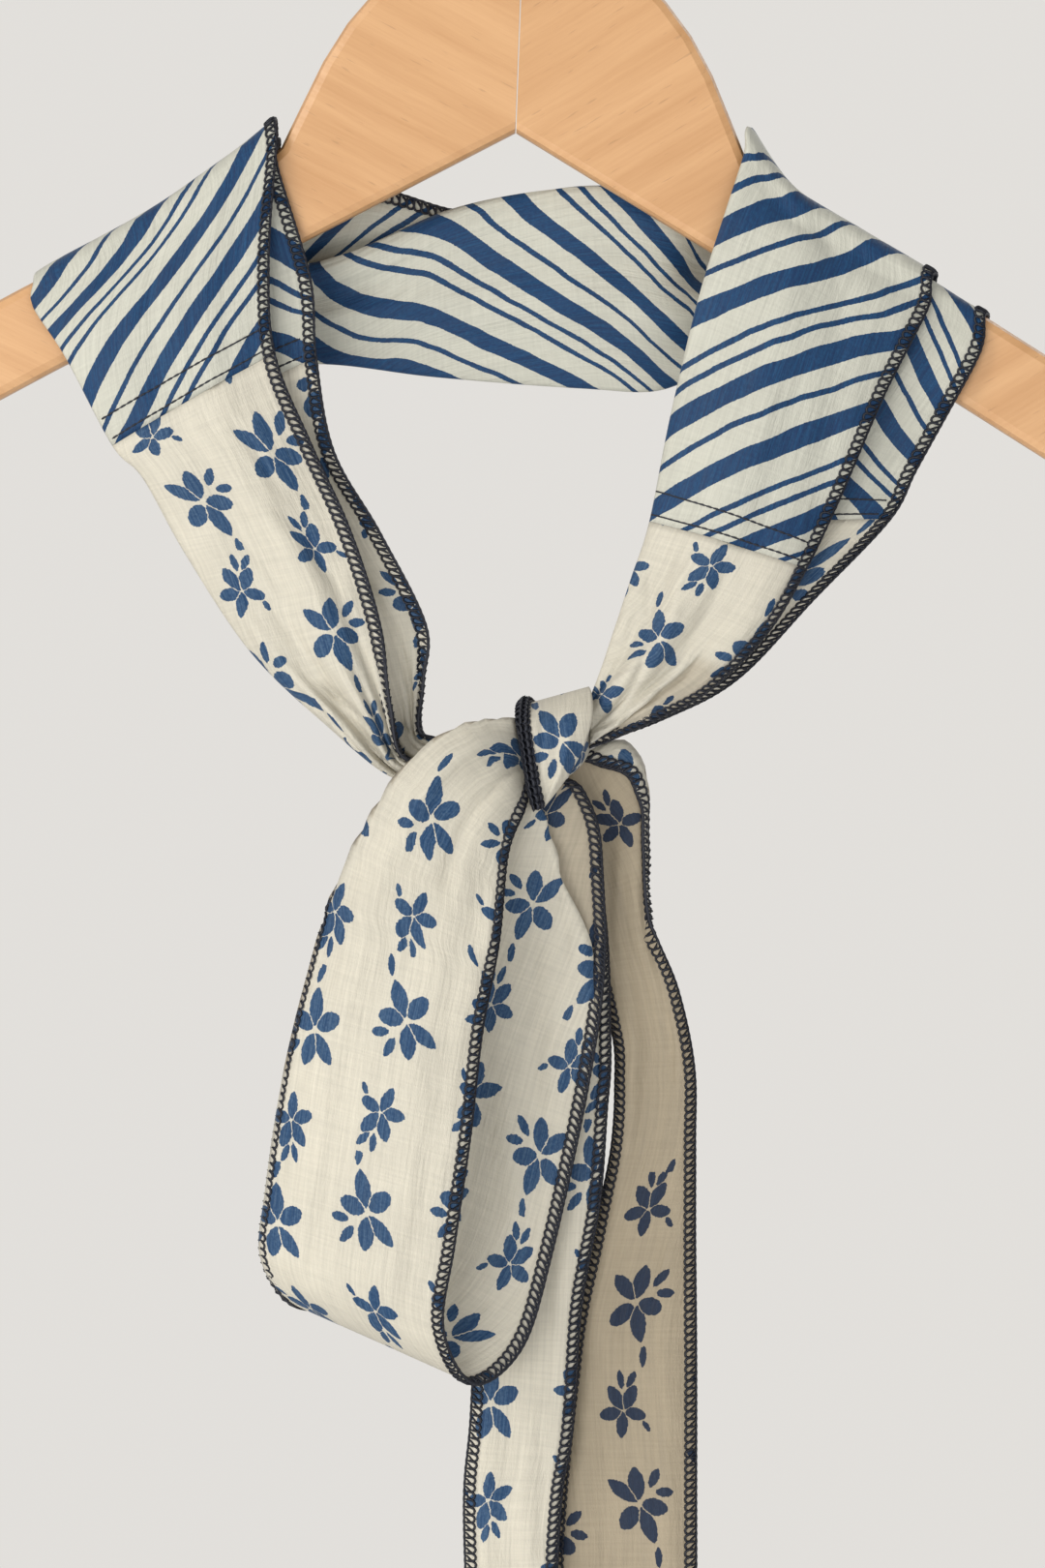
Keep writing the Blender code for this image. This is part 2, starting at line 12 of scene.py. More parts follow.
import bpy
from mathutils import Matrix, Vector, noise


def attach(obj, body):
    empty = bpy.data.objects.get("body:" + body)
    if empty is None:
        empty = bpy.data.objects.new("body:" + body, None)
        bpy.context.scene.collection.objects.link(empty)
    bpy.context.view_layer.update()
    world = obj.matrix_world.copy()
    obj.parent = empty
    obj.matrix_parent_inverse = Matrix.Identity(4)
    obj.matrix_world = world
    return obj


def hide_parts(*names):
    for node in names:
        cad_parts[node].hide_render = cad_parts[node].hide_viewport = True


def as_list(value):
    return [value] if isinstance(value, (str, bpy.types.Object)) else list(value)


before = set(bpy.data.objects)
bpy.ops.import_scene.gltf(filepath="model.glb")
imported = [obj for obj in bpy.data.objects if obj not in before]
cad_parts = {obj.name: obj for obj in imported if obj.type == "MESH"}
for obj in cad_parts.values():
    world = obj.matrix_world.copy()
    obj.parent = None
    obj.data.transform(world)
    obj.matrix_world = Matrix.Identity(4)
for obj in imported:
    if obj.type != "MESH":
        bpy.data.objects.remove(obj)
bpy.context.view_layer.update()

MM = 0.001
BODY = "root"

# ---------------------------------------------------------------- driving sizes, in millimetres
SEAM_GAP = 0.05         # the stretches all but touch at their seams
SEAM_ROUND = 1.25       # allowance at a seam for the turn of the wall's normals
JOIN_ROUND = 3.0        # the same where one panel goes on out of sight, in a sharper turn
MOST_SEAM_SHARE = 0.08  # most of a row's step that a seam's gap may take up
SEAM_PROBE = 0.1        # how far along the rows a seam's step is measured, in rows
COURSE_PROBE = 0.05     # how far on each side of a section the strip's course is measured, in rows
FOLD_PORTION = 0.10     # part of a layer that takes up the round of the fold
PLEATS = 2.0            # whole pleats across a gathered layer
RIPPLES = 1.5           # whole ripples across a single layer

CLOTH_THICKNESS = 0.6
CLOTH_STEP = 2.2        # distance between rows of points along the cloth
LAYER_STEPS = 30        # faces across one layer of folded cloth, without its fold
LAYER_COLUMN = (1.0 - FOLD_PORTION) / LAYER_STEPS
FOLD_STEPS = 5
STRIP_STEPS = 32        # faces across a single layer
FOLDED_WIDTH = 76.0     # the strip is cut 152 mm wide and folded in half
FLUTTER = 0.7           # how uneven the cloth lies
FLUTTER_SCALE = 26.0
STRIP_SEED = 2.0        # the place of the single stretches in the noise; a folded layer's is its sign
CREASE_SHARPNESS = 1.8  # how fast a crease dies away within its half width
CREASE_REACH = 2.0      # in half widths, where it is taken to be flat
LEAST_LENGTH = 1e-9     # anything shorter counts as nothing
SAME_PLACE = 1e-6       # places closer than this are the same

GATHERS = 5.0           # fine gathers across a layer near the knot
GATHER_DEPTH = 1.5
GATHER_FROM = 54.0      # width of a section where they start, and where they are full
GATHER_FULL = 20.0
GATHER_SHARE = {"right_front_floral": 0.45}     # a stretch whose gathers are shallower
# How far the gathers wander from an even wave, as (gathers, radians of the wandering): for each row along
# the strip, and across a whole layer.
GATHER_DRIFT_ALONG = (0.35, 1.7)
GATHER_DRIFT_ACROSS = (0.6, 7.0)

OVERLOCK_WIDTH = 3.5
EDGE_OVERHANG = 0.25
STITCH_PITCH = 2.36
# One loop of the looping thread: depth from the edge, and way along the hem, as shares of the
# overlock's width and of a stitch.
LOOP_COURSE = (
    (0.0, 0.0),
    (0.33, 0.02),
    (0.69, 0.09),
    (0.93, 0.32),
    (1.0, 0.60),
    (0.94, 0.90),
    (0.78, 1.07),
    (0.58, 1.05),
    (0.36, 0.76),
    (0.15, 0.39),
    (0.0, 0.12),
)
THREAD_RADIUS = 0.46
THREAD_SIDES = 3
THREAD_REST = 0.8       # how high a thread lies on the cloth, as a share of its radius
THREAD_CROSSING = 0.45  # how much of its radius it rises or sinks where threads cross
CLIMB_AT_EDGE = 0.3     # share of its height that a thread has at the edge, and what it gains inward
CLIMB_INWARD = 2.8
EDGE_RADIUS = 0.52      # the threads that cross over the cloth's edge make one cord
EDGE_SIDES = 5
EDGE_BEAD = 0.14
HEM_DEPTH = 5           # points across the cloth from a hem, enough for the overlock's width
HEM_STEADY = 3          # rows on each side over which the way out of the cloth is evened
BUNDLE_TURNS = ((0.0, 0.0), (14.0, 0.5), (28.0, -0.5))     # degrees and millimetres of each copy
SEAM_STITCH = 2.4
SEAM_THREAD_RADIUS = 0.32
SEAM_THREAD_SIDES = 4
SEAM_THREAD_DIP = 0.5   # how deep it dips between stitches, as a share of its radius
STITCH_STEPS = 8        # points of the thread's path to a stitch
# From the start of a shoulder (True) or from its end: two rows of stitches, so many rows of points away.
SEAM_AT_START = {"left_shoulder_striped": True, "right_shoulder_striped": False}
SEAM_ROWS = (1, 4)

NOTCH_DROP = 135.0      # hook's inner top down to the notch under the hanger's middle
HANGER_TILT = math.radians(2.1)
HANGER_HALF_LENGTH = 222.0
ARM_SLOPE_ANGLE = math.radians(29.4)
ARM_SLOPE = math.tan(ARM_SLOPE_ANGLE)
ARM_ROOT = (71.0, -9.0)                 # where the dome meets the arm, from the notch

KNOT_CENTRE = (12.5, -25.0, -323.0)
KNOT_RADII = (9.5, 10.5, 10.0)
KNOT_SWELL = 0.9        # the folds of cloth round the knot's plain core
KNOT_RINGS = 24
KNOT_STEPS = 40
KNOT_FOLDS = 5          # shallow folds round the core, their depth as a share of it, and their slant
KNOT_FOLD_DEPTH = 0.05
KNOT_FOLD_SLANT = 2.0
KNOT_CLOTH_STEP = 2.0   # cloth coordinates from one of its points to the next

NECK_COLUMNS = (
    "fold_x", "fold_y", "fold_z",
    "a_x", "a_y", "a_z",
    "b_x", "b_y", "b_z",
    "gap", "belly_a", "belly_b", "pleat",
)
EDGES = (0, 3, 6)       # where the fold, hem A and hem B start in a row
# The rows over an arm have three more values: how far the corner at the fold, hem A and hem B stand up.
ARM_COLUMNS = ("tip", "lift_a", "lift_b")
LEFT_FRONT = (
    (0.2, -20.0, -337.0, 1.2, -24.5, -322.0, 1.2, -20.0, -319.5, 2.6, 0.0, 0.0, 1.2),
    (-20.0, -19.0, -337.0, -17.0, -24.0, -327.0, -14.0, -18.0, -322.0, 3.0, 0.5, 0.0, 1.6),
    (-38.0, -18.0, -333.5, -33.6, -23.5, -327.5, -29.0, -17.0, -320.5, 3.2, 1.0, 0.0, 2.0),
    (-57.6, -17.0, -318.0, -38.2, -23.0, -311.4, -28.6, -16.0, -304.5, 3.4, 2.0, 0.0, 2.4),
    (-80.9, -15.0, -295.6, -41.8, -20.5, -287.1, -28.1, -15.0, -287.2, 3.4, 3.5, 0.0, 2.2),
    (-100.9, -13.0, -265.7, -51.0, -17.5, -258.3, -42.1, -13.0, -258.9, 3.2, 4.5, 0.0, 1.4),
    (-114.3, -12.0, -241.9, -63.0, -15.5, -232.0, -56.4, -11.5, -233.8, 3.0, 4.0, 0.0, 0.8),
)
LEFT_SEAM = (
    (-123.6, -11.5, -232.0, -74.3, -14.5, -204.0, -61.8, -10.8, -205.0, 2.8, 3.5, 0.0, 0.4),
)
LEFT_SHOULDER = (
    (-138.2, -10.5, -204.6, -76.1, -13.0, -174.7, -63.6, -10.2, -180.7, 2.6, 2.5, 0.0, 0.2),
)
BEHIND_LEFT = (
    (-126.0, 12.5, -203.0, -70.0, 15.0, -162.0, -69.0, 11.5, -166.0, 2.8, 1.0, 0.0, 0.6),
    (-92.0, 14.0, -207.0, -66.0, 18.0, -163.0, -66.5, 12.0, -174.0, 3.0, 1.5, 0.0, 1.6),
)
BEHIND = (
    (-59.0, 13.5, -205.5, -44.0, 18.0, -152.0, -54.0, 12.0, -172.0, 3.0, 2.0, 0.0, 1.6),
    (-25.0, 13.0, -209.5, -15.8, 16.5, -158.5, -15.8, 11.0, -156.8, 3.0, 2.5, 1.0, 1.0),
    (20.0, 12.5, -213.0, 21.5, 16.0, -157.0, 21.5, 11.0, -150.0, 3.0, 2.5, 1.5, 0.8),
    (47.0, 13.0, -213.0, 46.0, 18.0, -157.0, 45.0, 13.0, -154.5, 3.0, 2.0, 1.0, 1.4),
    (66.0, 12.5, -199.0, 66.0, 30.0, -172.0, 63.0, 27.0, -169.0, 3.4, 0.5, 0.5, 2.4),
)
BEHIND_RIGHT = (
    (76.0, 12.5, -174.0, 90.0, 27.0, -186.0, 88.0, 30.0, -184.0, 3.4, 0.5, 0.5, 2.2),
    (75.0, 11.0, -160.0, 124.0, 13.5, -197.0, 112.0, 15.5, -193.0, 2.8, 0.5, 0.5, 1.2),
)
RIGHT_SHOULDER = (
    (65.0, -11.5, -159.0, 141.0, -10.0, -206.0, 122.0, -12.5, -198.0, 2.6, 0.0, 1.5, 0.2),
    (56.4, -13.0, -186.6, 132.5, -11.0, -221.5, 111.9, -15.5, -218.0, 3.0, 0.0, 5.5, 0.3),
    (47.5, -14.5, -224.0, 122.5, -12.0, -239.5, 99.1, -18.0, -247.8, 3.2, 0.0, 8.0, 0.4),
)
RIGHT_SEAM = (
    (41.2, -16.0, -255.6, 114.5, -13.0, -254.5, 88.4, -20.0, -270.2, 3.2, 0.0, 7.5, 0.8),
)
RIGHT_FRONT = (
    (35.5, -17.0, -273.2, 91.0, -15.0, -279.0, 76.7, -21.5, -289.6, 3.2, 0.0, 6.0, 1.6),
    (30.6, -18.5, -288.0, 68.0, -17.0, -303.0, 60.3, -24.0, -306.0, 3.2, 0.0, 4.0, 2.2),
    (26.6, -21.0, -300.0, 46.0, -20.0, -315.0, 41.0, -26.5, -316.5, 3.0, 0.0, 2.0, 2.0),
    (23.2, -23.0, -309.0, 22.6, -21.0, -323.5, 22.6, -27.0, -324.5, 2.6, 0.0, 0.0, 1.0),
)

# How the strip rounds the top of an arm: its distance in front of (-) or behind (+) the arm's middle,
# and its height over the arm's upper edge. In front it also slips down the arm's slope, by a share of the
# distance.
ARM_WRAP = ((-8.8, -8.0), (-7.4, -0.9), (-4.2, 1.7), (0.0, 2.1), (4.2, 1.7), (7.4, -0.9), (8.8, -8.0))
ARM_WRAP_GAP = 1.6
LEFT_CROSSING = {
    "fold_x": -148.2, "a_x": -74.0, "b_x": -73.6, "slip": 0.0, "tip": 0.0, "lift_a": 9.0, "lift_b": 4.0,
}
RIGHT_CROSSING = {
    "fold_x": 72.8, "a_x": 146.0, "b_x": 129.2, "slip": 0.28, "tip": 12.0, "lift_a": 0.0, "lift_b": 0.8,
}
TIP_PORTION = 0.30      # part of a layer that the standing corner takes up
LIFT_POWER = 3.0        # how late across a layer its hem starts to stand up

# ---------------------------------------------------------------- single stretches below the knot
# Each row is a section: left x, y, z and right x, y, z of its edges, then belly, which is how far its
# middle stands forward, and ripple.
BOW_LOOP = (
    (-0.3, -32.0, -315.5, 3.8, -31.5, -336.5, 0.5, 0.4),
    (-18.0, -42.0, -318.4, 2.4, -38.0, -343.4, 4.0, 1.4),
    (-36.0, -45.0, -332.5, -2.7, -46.0, -357.0, 6.0, 1.4),
    (-53.7, -47.0, -363.4, -5.4, -53.0, -383.7, 7.0, 1.2),
    (-63.6, -50.0, -395.6, -10.4, -58.0, -410.5, 7.0, 1.0),
    (-70.4, -52.0, -425.4, -14.0, -60.5, -441.9, 6.0, 0.8),
    (-75.5, -53.0, -458.3, -18.8, -60.0, -474.7, 4.5, 0.6),
    (-77.0, -51.0, -479.2, -22.1, -57.0, -500.1, 3.0, 0.4),
    (-66.6, -44.0, -493.3, -12.8, -45.5, -517.4, 0.0, 0.2),
    (-48.0, -37.0, -482.0, 1.5, -35.5, -507.3, -2.0, 0.2),
    (-38.0, -35.0, -458.0, 10.4, -31.5, -479.5, -2.5, 0.4),
    (-26.0, -34.0, -410.0, 21.5, -30.0, -428.7, -2.5, 0.6),
    (-13.0, -35.0, -376.0, 26.6, -31.0, -392.0, -1.5, 0.8),
    (-7.5, -35.0, -360.0, 26.0, -31.0, -362.0, -0.5, 0.6),
    (-4.0, -35.0, -350.0, 24.5, -30.5, -348.0, 0.0, 0.4),
    (0.0, -33.5, -341.0, 19.6, -29.5, -337.0, 0.0, 0.3),
    (4.0, -32.0, -336.6, 15.5, -28.5, -334.6, 0.0, 0.2),
)
TAIL_LEFT = (
    (7.0, -22.5, -341.5, 17.5, -22.5, -340.0, 0.5, 0.6),
    (4.0, -23.0, -372.0, 26.0, -22.5, -369.0, 1.2, 1.0),
    (-4.0, -22.5, -405.7, 28.4, -22.0, -405.7, 1.6, 1.0),
    (-8.4, -22.0, -434.4, 26.0, -22.0, -434.4, 1.6, 0.8),
    (-10.7, -21.5, -463.1, 23.3, -22.0, -463.1, 1.4, 0.8),
    (-12.0, -21.0, -495.7, 17.6, -21.5, -495.7, 1.4, 0.8),
    (-13.4, -21.0, -530.0, 15.0, -21.0, -534.0, 1.4, 0.8),
    (-15.4, -21.0, -553.8, 12.6, -21.0, -553.8, 1.2, 0.6),
    (-14.6, -21.0, -590.0, 11.2, -21.0, -590.0, 1.2, 0.6),
    (-13.6, -21.0, -637.0, 12.4, -21.0, -637.0, 1.0, 0.6),
)
TAIL_RIGHT = (
    (13.5, -17.0, -337.5, 21.6, -18.0, -326.0, 0.4, 0.3),
    (15.0, -16.0, -343.0, 33.4, -17.5, -322.4, 1.0, 0.6),
    (17.5, -15.5, -350.5, 40.3, -17.5, -333.5, 1.5, 0.8),
    (19.5, -15.0, -364.0, 40.8, -17.0, -354.0, 1.8, 1.0),
    (22.5, -15.0, -383.0, 41.6, -16.5, -378.0, 1.8, 1.0),
    (27.5, -14.5, -401.0, 49.4, -16.5, -399.0, 1.6, 1.0),
    (31.6, -14.0, -423.1, 54.3, -16.0, -422.5, 1.6, 1.0),
    (30.7, -13.5, -445.8, 54.6, -15.5, -445.8, 1.6, 0.8),
    (24.8, -13.0, -474.7, 54.6, -15.0, -474.7, 1.6, 0.8),
    (20.0, -13.0, -512.0, 54.9, -15.0, -512.0, 1.5, 0.8),
    (16.1, -13.0, -552.7, 54.9, -15.0, -552.7, 1.4, 0.8),
    (14.6, -13.0, -590.0, 54.9, -15.0, -590.0, 1.2, 0.6),
    (13.6, -13.0, -655.0, 54.4, -15.0, -655.0, 1.0, 0.6),
)
KNOT_WRAP = (
    (3.5, -14.0, -314.0, 19.0, -14.0, -311.5, -1.0, 0.4),
    (1.4, -24.0, -312.2, 22.4, -24.5, -306.4, 1.0, 0.5),
    (1.2, -34.5, -317.0, 23.4, -34.0, -314.5, 2.2, 0.8),
    (2.8, -37.5, -326.0, 20.4, -36.5, -325.0, 2.4, 0.8),
    (4.4, -38.0, -336.5, 15.4, -36.5, -334.0, 1.8, 0.6),
    (6.2, -36.5, -343.4, 8.6, -36.5, -342.8, 0.4, 0.2),
)

# ---------------------------------------------------------------- prints and weave, in millimetres
# The stripes' repeat across their own direction: (centre, width).
STRIPE_REPEAT = 44.0
STRIPES = ((3.6, 5.9), (13.0, 1.6), (23.0, 5.9), (34.3, 1.7), (39.4, 1.7))
STRIPE_ANGLE = 51.0     # the stripes' normal against the strip's width
STRIPE_WAVER = 3.0      # how far a stripe wanders, and how ragged its edges are
STRIPE_RAGGED = 0.45

# Each petal, leaf or bud of a printed flower: x, y, axis in degrees, half length, half width, and how
# round it is (1 is an almond and 2 an ellipse). Y points back along the strip, towards the knot.
LARGE_FLOWER = (
    (-2.3, 6.6, 108, 5.9, 2.5, 1.25),
    (3.4, 4.3, 52, 4.2, 2.8, 1.8),
    (-4.8, 0.9, 168, 4.0, 2.7, 1.8),
    (0.4, -6.2, 272, 5.2, 2.6, 1.4),
    (4.9, -4.0, 321, 5.4, 2.3, 1.3),
    (-8.2, -3.6, 184, 2.7, 1.5, 1.7),
    (-5.4, -8.0, 240, 3.4, 1.5, 1.4),
    (-5.2, 16.4, 92, 3.3, 1.15, 1.6),
)
SMALL_FLOWER = (
    (0.7, 4.3, 82, 4.2, 1.8, 1.4),
    (4.1, 1.0, 14, 3.5, 2.1, 1.7),
    (-3.7, 0.9, 168, 3.2, 2.0, 1.8),
    (-2.0, -4.2, 243, 4.2, 2.1, 1.6),
    (2.2, -3.9, 300, 4.3, 2.1, 1.5),
    (-2.6, -9.7, 243, 2.9, 1.2, 1.4),
    (0.7, -9.6, 279, 3.0, 1.1, 1.4),
    (-6.9, 4.6, 124, 1.9, 0.9, 1.8),
)
LARGE_HEART = 0.9       # radius of the bare middle of each flower
SMALL_HEART = 0.55
HEART_EDGE = 0.7        # share of that radius where the print starts to fade in
# The print's soft edges, by how far inside a petal's outline a place is.
PRINT_EDGE = (-0.03, 0.05)
PETAL_GAP = (0.10, 0.22)    # where two petals meet, the bare line between them, by how much they differ
SINGLE_PETAL = (-0.10, 0.0)     # where only one petal is near, by how near the second is
PRINT_RAGGED = 0.9
COLUMN_WIDTH = 28.0
COLUMN_SHIFT = 10.0
MOTIF_REPEAT = 61.0
LARGE_CENTRE = 19.0     # from the start of a repeat
SMALL_CENTRE = 47.5
MOTIF_DRIFT = 2.0       # how far a flower stands from its place, and its turn in radians
MOTIF_TURN = 0.32

# The weave's slubs and the cloth's crinkle, as noise frequencies along and across the strip.
SLUB_ALONG = (0.03, 1.1, 1.0)
SLUB_ACROSS = (1.2, 0.06, 1.0)
CRINKLE_STRETCH = (0.035, 0.16, 1.0)
WEAVE_STRETCH = (1.4, 3.2, 1.0)
DYE_STRETCH = (1.6, 1.6, 1.0)
CRINKLE_HEIGHT = 1.7
WEAVE_HEIGHT = 0.10     # as shares of the crinkle's height
SLUB_HEIGHT = 0.12
NOISE_RANGE = (0.3, 0.7)        # where nearly all values of a noise lie
SLUB_TINT = (0.83, 1.08)        # darkest and lightest, as shares of the colour
BLOTCH_TINT = (0.955, 1.03)
BLOTCH_SCALE = 0.035
CLOTH_ROUGHNESS = (0.52, 0.68)
DYE_RANGE = (0.52, 0.80)        # from full blue to the paler blue of threads that took less dye
STRIPED_THROUGH = 0.16          # share of the light that comes through the cloth
FLORAL_THROUGH = 0.28

# The wood's grain, as noise frequencies per metre along and across it.
BROAD_GRAIN = (6.0, 60.0, 110.0)
FINE_GRAIN = (45.0, 500.0, 900.0)
PORES = (120.0, 700.0, 1300.0)
GRAIN_DRIFT = (0.0, 0.004, 0.006)       # how far the grain wanders, in metres
GRAIN_RANGE = (0.36, 0.68)
PORE_RANGE = (0.70, 0.76)
PORE_SHADE = 0.55       # a pore's colour as a share of the dark wood's

# ---------------------------------------------------------------- the stretches
# The stretches, in the order of the strip and then of the single ones: the cloth, how it is held, the
# width and length of its cut as far as it shows, the width of its other end where it narrows towards the
# knot, the cloth coordinate u at its first row, and what it rests on.
STRETCH_COLUMNS = ("cloth", "held", "width", "length", "narrow_end", "start_u", "rests_on")
STRETCHES = {
    "left_front_floral": (
        "floral_cloth", "gathered", 152.0, 160.0, 98.0, 0.0, ["left_shoulder_striped_cloth"],
    ),
    "left_shoulder_striped": (
        "striped_cloth", "draped", 152.0, 118.0, None, 17.0, ["hanger_left_half"],
    ),
    "back_neck_striped": (
        "striped_cloth", "draped", 152.0, 140.0, None, 0.0,
        ["left_shoulder_striped_cloth", "right_shoulder_striped_cloth"],
    ),
    "right_shoulder_striped": (
        "striped_cloth", "draped", 152.0, 169.0, None, 16.0, ["hanger_right_half"],
    ),
    "right_front_floral": (
        "floral_cloth", "gathered", 152.0, 77.0, 110.0, 0.0, ["right_shoulder_striped_cloth"],
    ),
    "bow_loop": ("floral_cloth", "hung", 66.0, 385.0, None, -27.0, ["knot_wrap_cloth"]),
    "tail_left": ("floral_cloth", "hung", 36.0, 297.0, None, 14.0, ["knot_wrap_cloth"]),
    "tail_right": ("floral_cloth", "hung", 42.0, 332.0, None, 0.0, ["knot_wrap_cloth"]),
    "knot_wrap": ("floral_cloth", "gathered", 22.0, 51.0, None, -13.0, ["knot_core_cloth"]),
}
STRIPS = {"bow_loop": BOW_LOOP, "tail_left": TAIL_LEFT, "tail_right": TAIL_RIGHT, "knot_wrap": KNOT_WRAP}

# What a stretch has where one of the tables below leaves it out.
NOTHING = ((0.0, 0.0),)
NOWHERE = (0.0, -1.0)
# On a single layer the cloth coordinate v at its left edge is given along the table as (place, v), as its
# visible part isn't always the same.
CLOTH_LEFT = {
    "bow_loop": ((0.0, 17.0), (2.2, 14.0), (3.8, 7.0), (5.0, 5.0), (8.6, 5.0), (10.2, -2.0), (16.0, -2.0)),
    "tail_left": ((0.0, 0.0), (5.0, 6.0), (6.5, 7.0), (7.6, 10.0), (9.0, 10.0)),
    "tail_right": ((0.0, 52.0), (1.5, 52.0), (3.5, 62.0), (5.5, 62.0), (8.6, 58.0), (10.6, 68.0)),
    "knot_wrap": ((0.0, 0.0), (5.0, 0.0)),
}
CLOTH_SIGN = {"tail_right": -1.0}       # a stretch whose print stands the other way up
# A part of a stretch that the print leaves bare, as (first place, last place).
BARE = {"tail_right": (2.95, 7.2)}
# Bias cloth shears where it bends: degrees that the stripes are turned, and how much more across the
# strip they are spread at the fold than at the hems.
STRIPE_LEAN = {"back_neck_striped": (-6.0, 0.37), "right_shoulder_striped": (-5.0, 0.0)}
# How far the hems wave out past the plain section, as (place, millimetres).
LEFT_WAVE = {"tail_right": ((5.6, 0.0), (6.3, 1.0), (7.9, 0.4), (8.9, 2.8), (10.6, 3.5), (12.0, 0.0))}
RIGHT_WAVE = {"tail_left": ((2.0, 0.0), (2.8, 1.5), (4.3, 2.1), (5.4, 2.1), (7.6, 0.8), (9.0, 0.0))}

# ---------------------------------------------------------------- turned edges and pleats
TURN_LIFT = 1.6
TURN_ROUND = 2.0
# Width of an edge turned over, as (place, width).
LEFT_TURN = {"bow_loop": ((0.0, 9.0), (2.0, 8.0), (3.0, 4.5), (3.6, 2.0), (7.2, 1.7), (8.0, 0.0))}
RIGHT_TURN = {"tail_right": ((0.0, 3.0), (1.0, 10.5), (2.0, 4.8), (2.6, 2.0), (4.6, 0.0))}
TURN_SIDE = {"bow_loop": -1.0}   # this one's lies behind the cloth, and the others' in front (1)
# A pleat's line across the strip, as (place, share), and how far the cloth past it lies back.
# On folded cloth the share runs from the fold to the hems, and only the front layer has the pleat.
# The first share of a line belongs to a column of points, which is drawn to the line all along.
PLEAT_LINE = {
    "bow_loop": (
        (10.0, 0.5), (11.6, 0.96), (12.0, 0.92), (13.0, 0.61), (14.0, 0.48), (15.0, 0.33), (16.0, 0.2),
    ),
    "right_front_floral": ((1.4, 0.73), (2.1, 0.715), (2.5, 0.716), (3.0, 0.78), (3.6, 0.876), (4.0, 0.94)),
}
PLEAT_DEPTH = {
    "bow_loop": ((11.4, 0.0), (12.2, 2.5), (13.0, 4.0), (16.0, 3.5)),
    "right_front_floral": ((1.6, 0.0), (2.2, 2.6), (3.6, 3.0), (4.0, 2.4)),
}
PLEAT_EDGE = 0.004      # share of the cloth that the step at a pleat's line takes up
# How much of the cloth's wrong side shows, in colours darkened with painted shade: on a whole stretch, and
# past a pleat's line, where the painted shade stands for the shadow on the cloth that lies back.
SHADED_WRONG_SIDE = {"tail_right": 1.0}
SHADED_WRONG_PAST_PLEAT = {"bow_loop": 0.75, "right_front_floral": 0.55}
# The back of the neck's near layer rolls over at the top, so that its hem lies between the layers.
HEM_B_TURN = {"back_neck_striped": ((0.0, 9.0), (5.0, 9.0))}
HEM_TURN_LIFT = 1.8

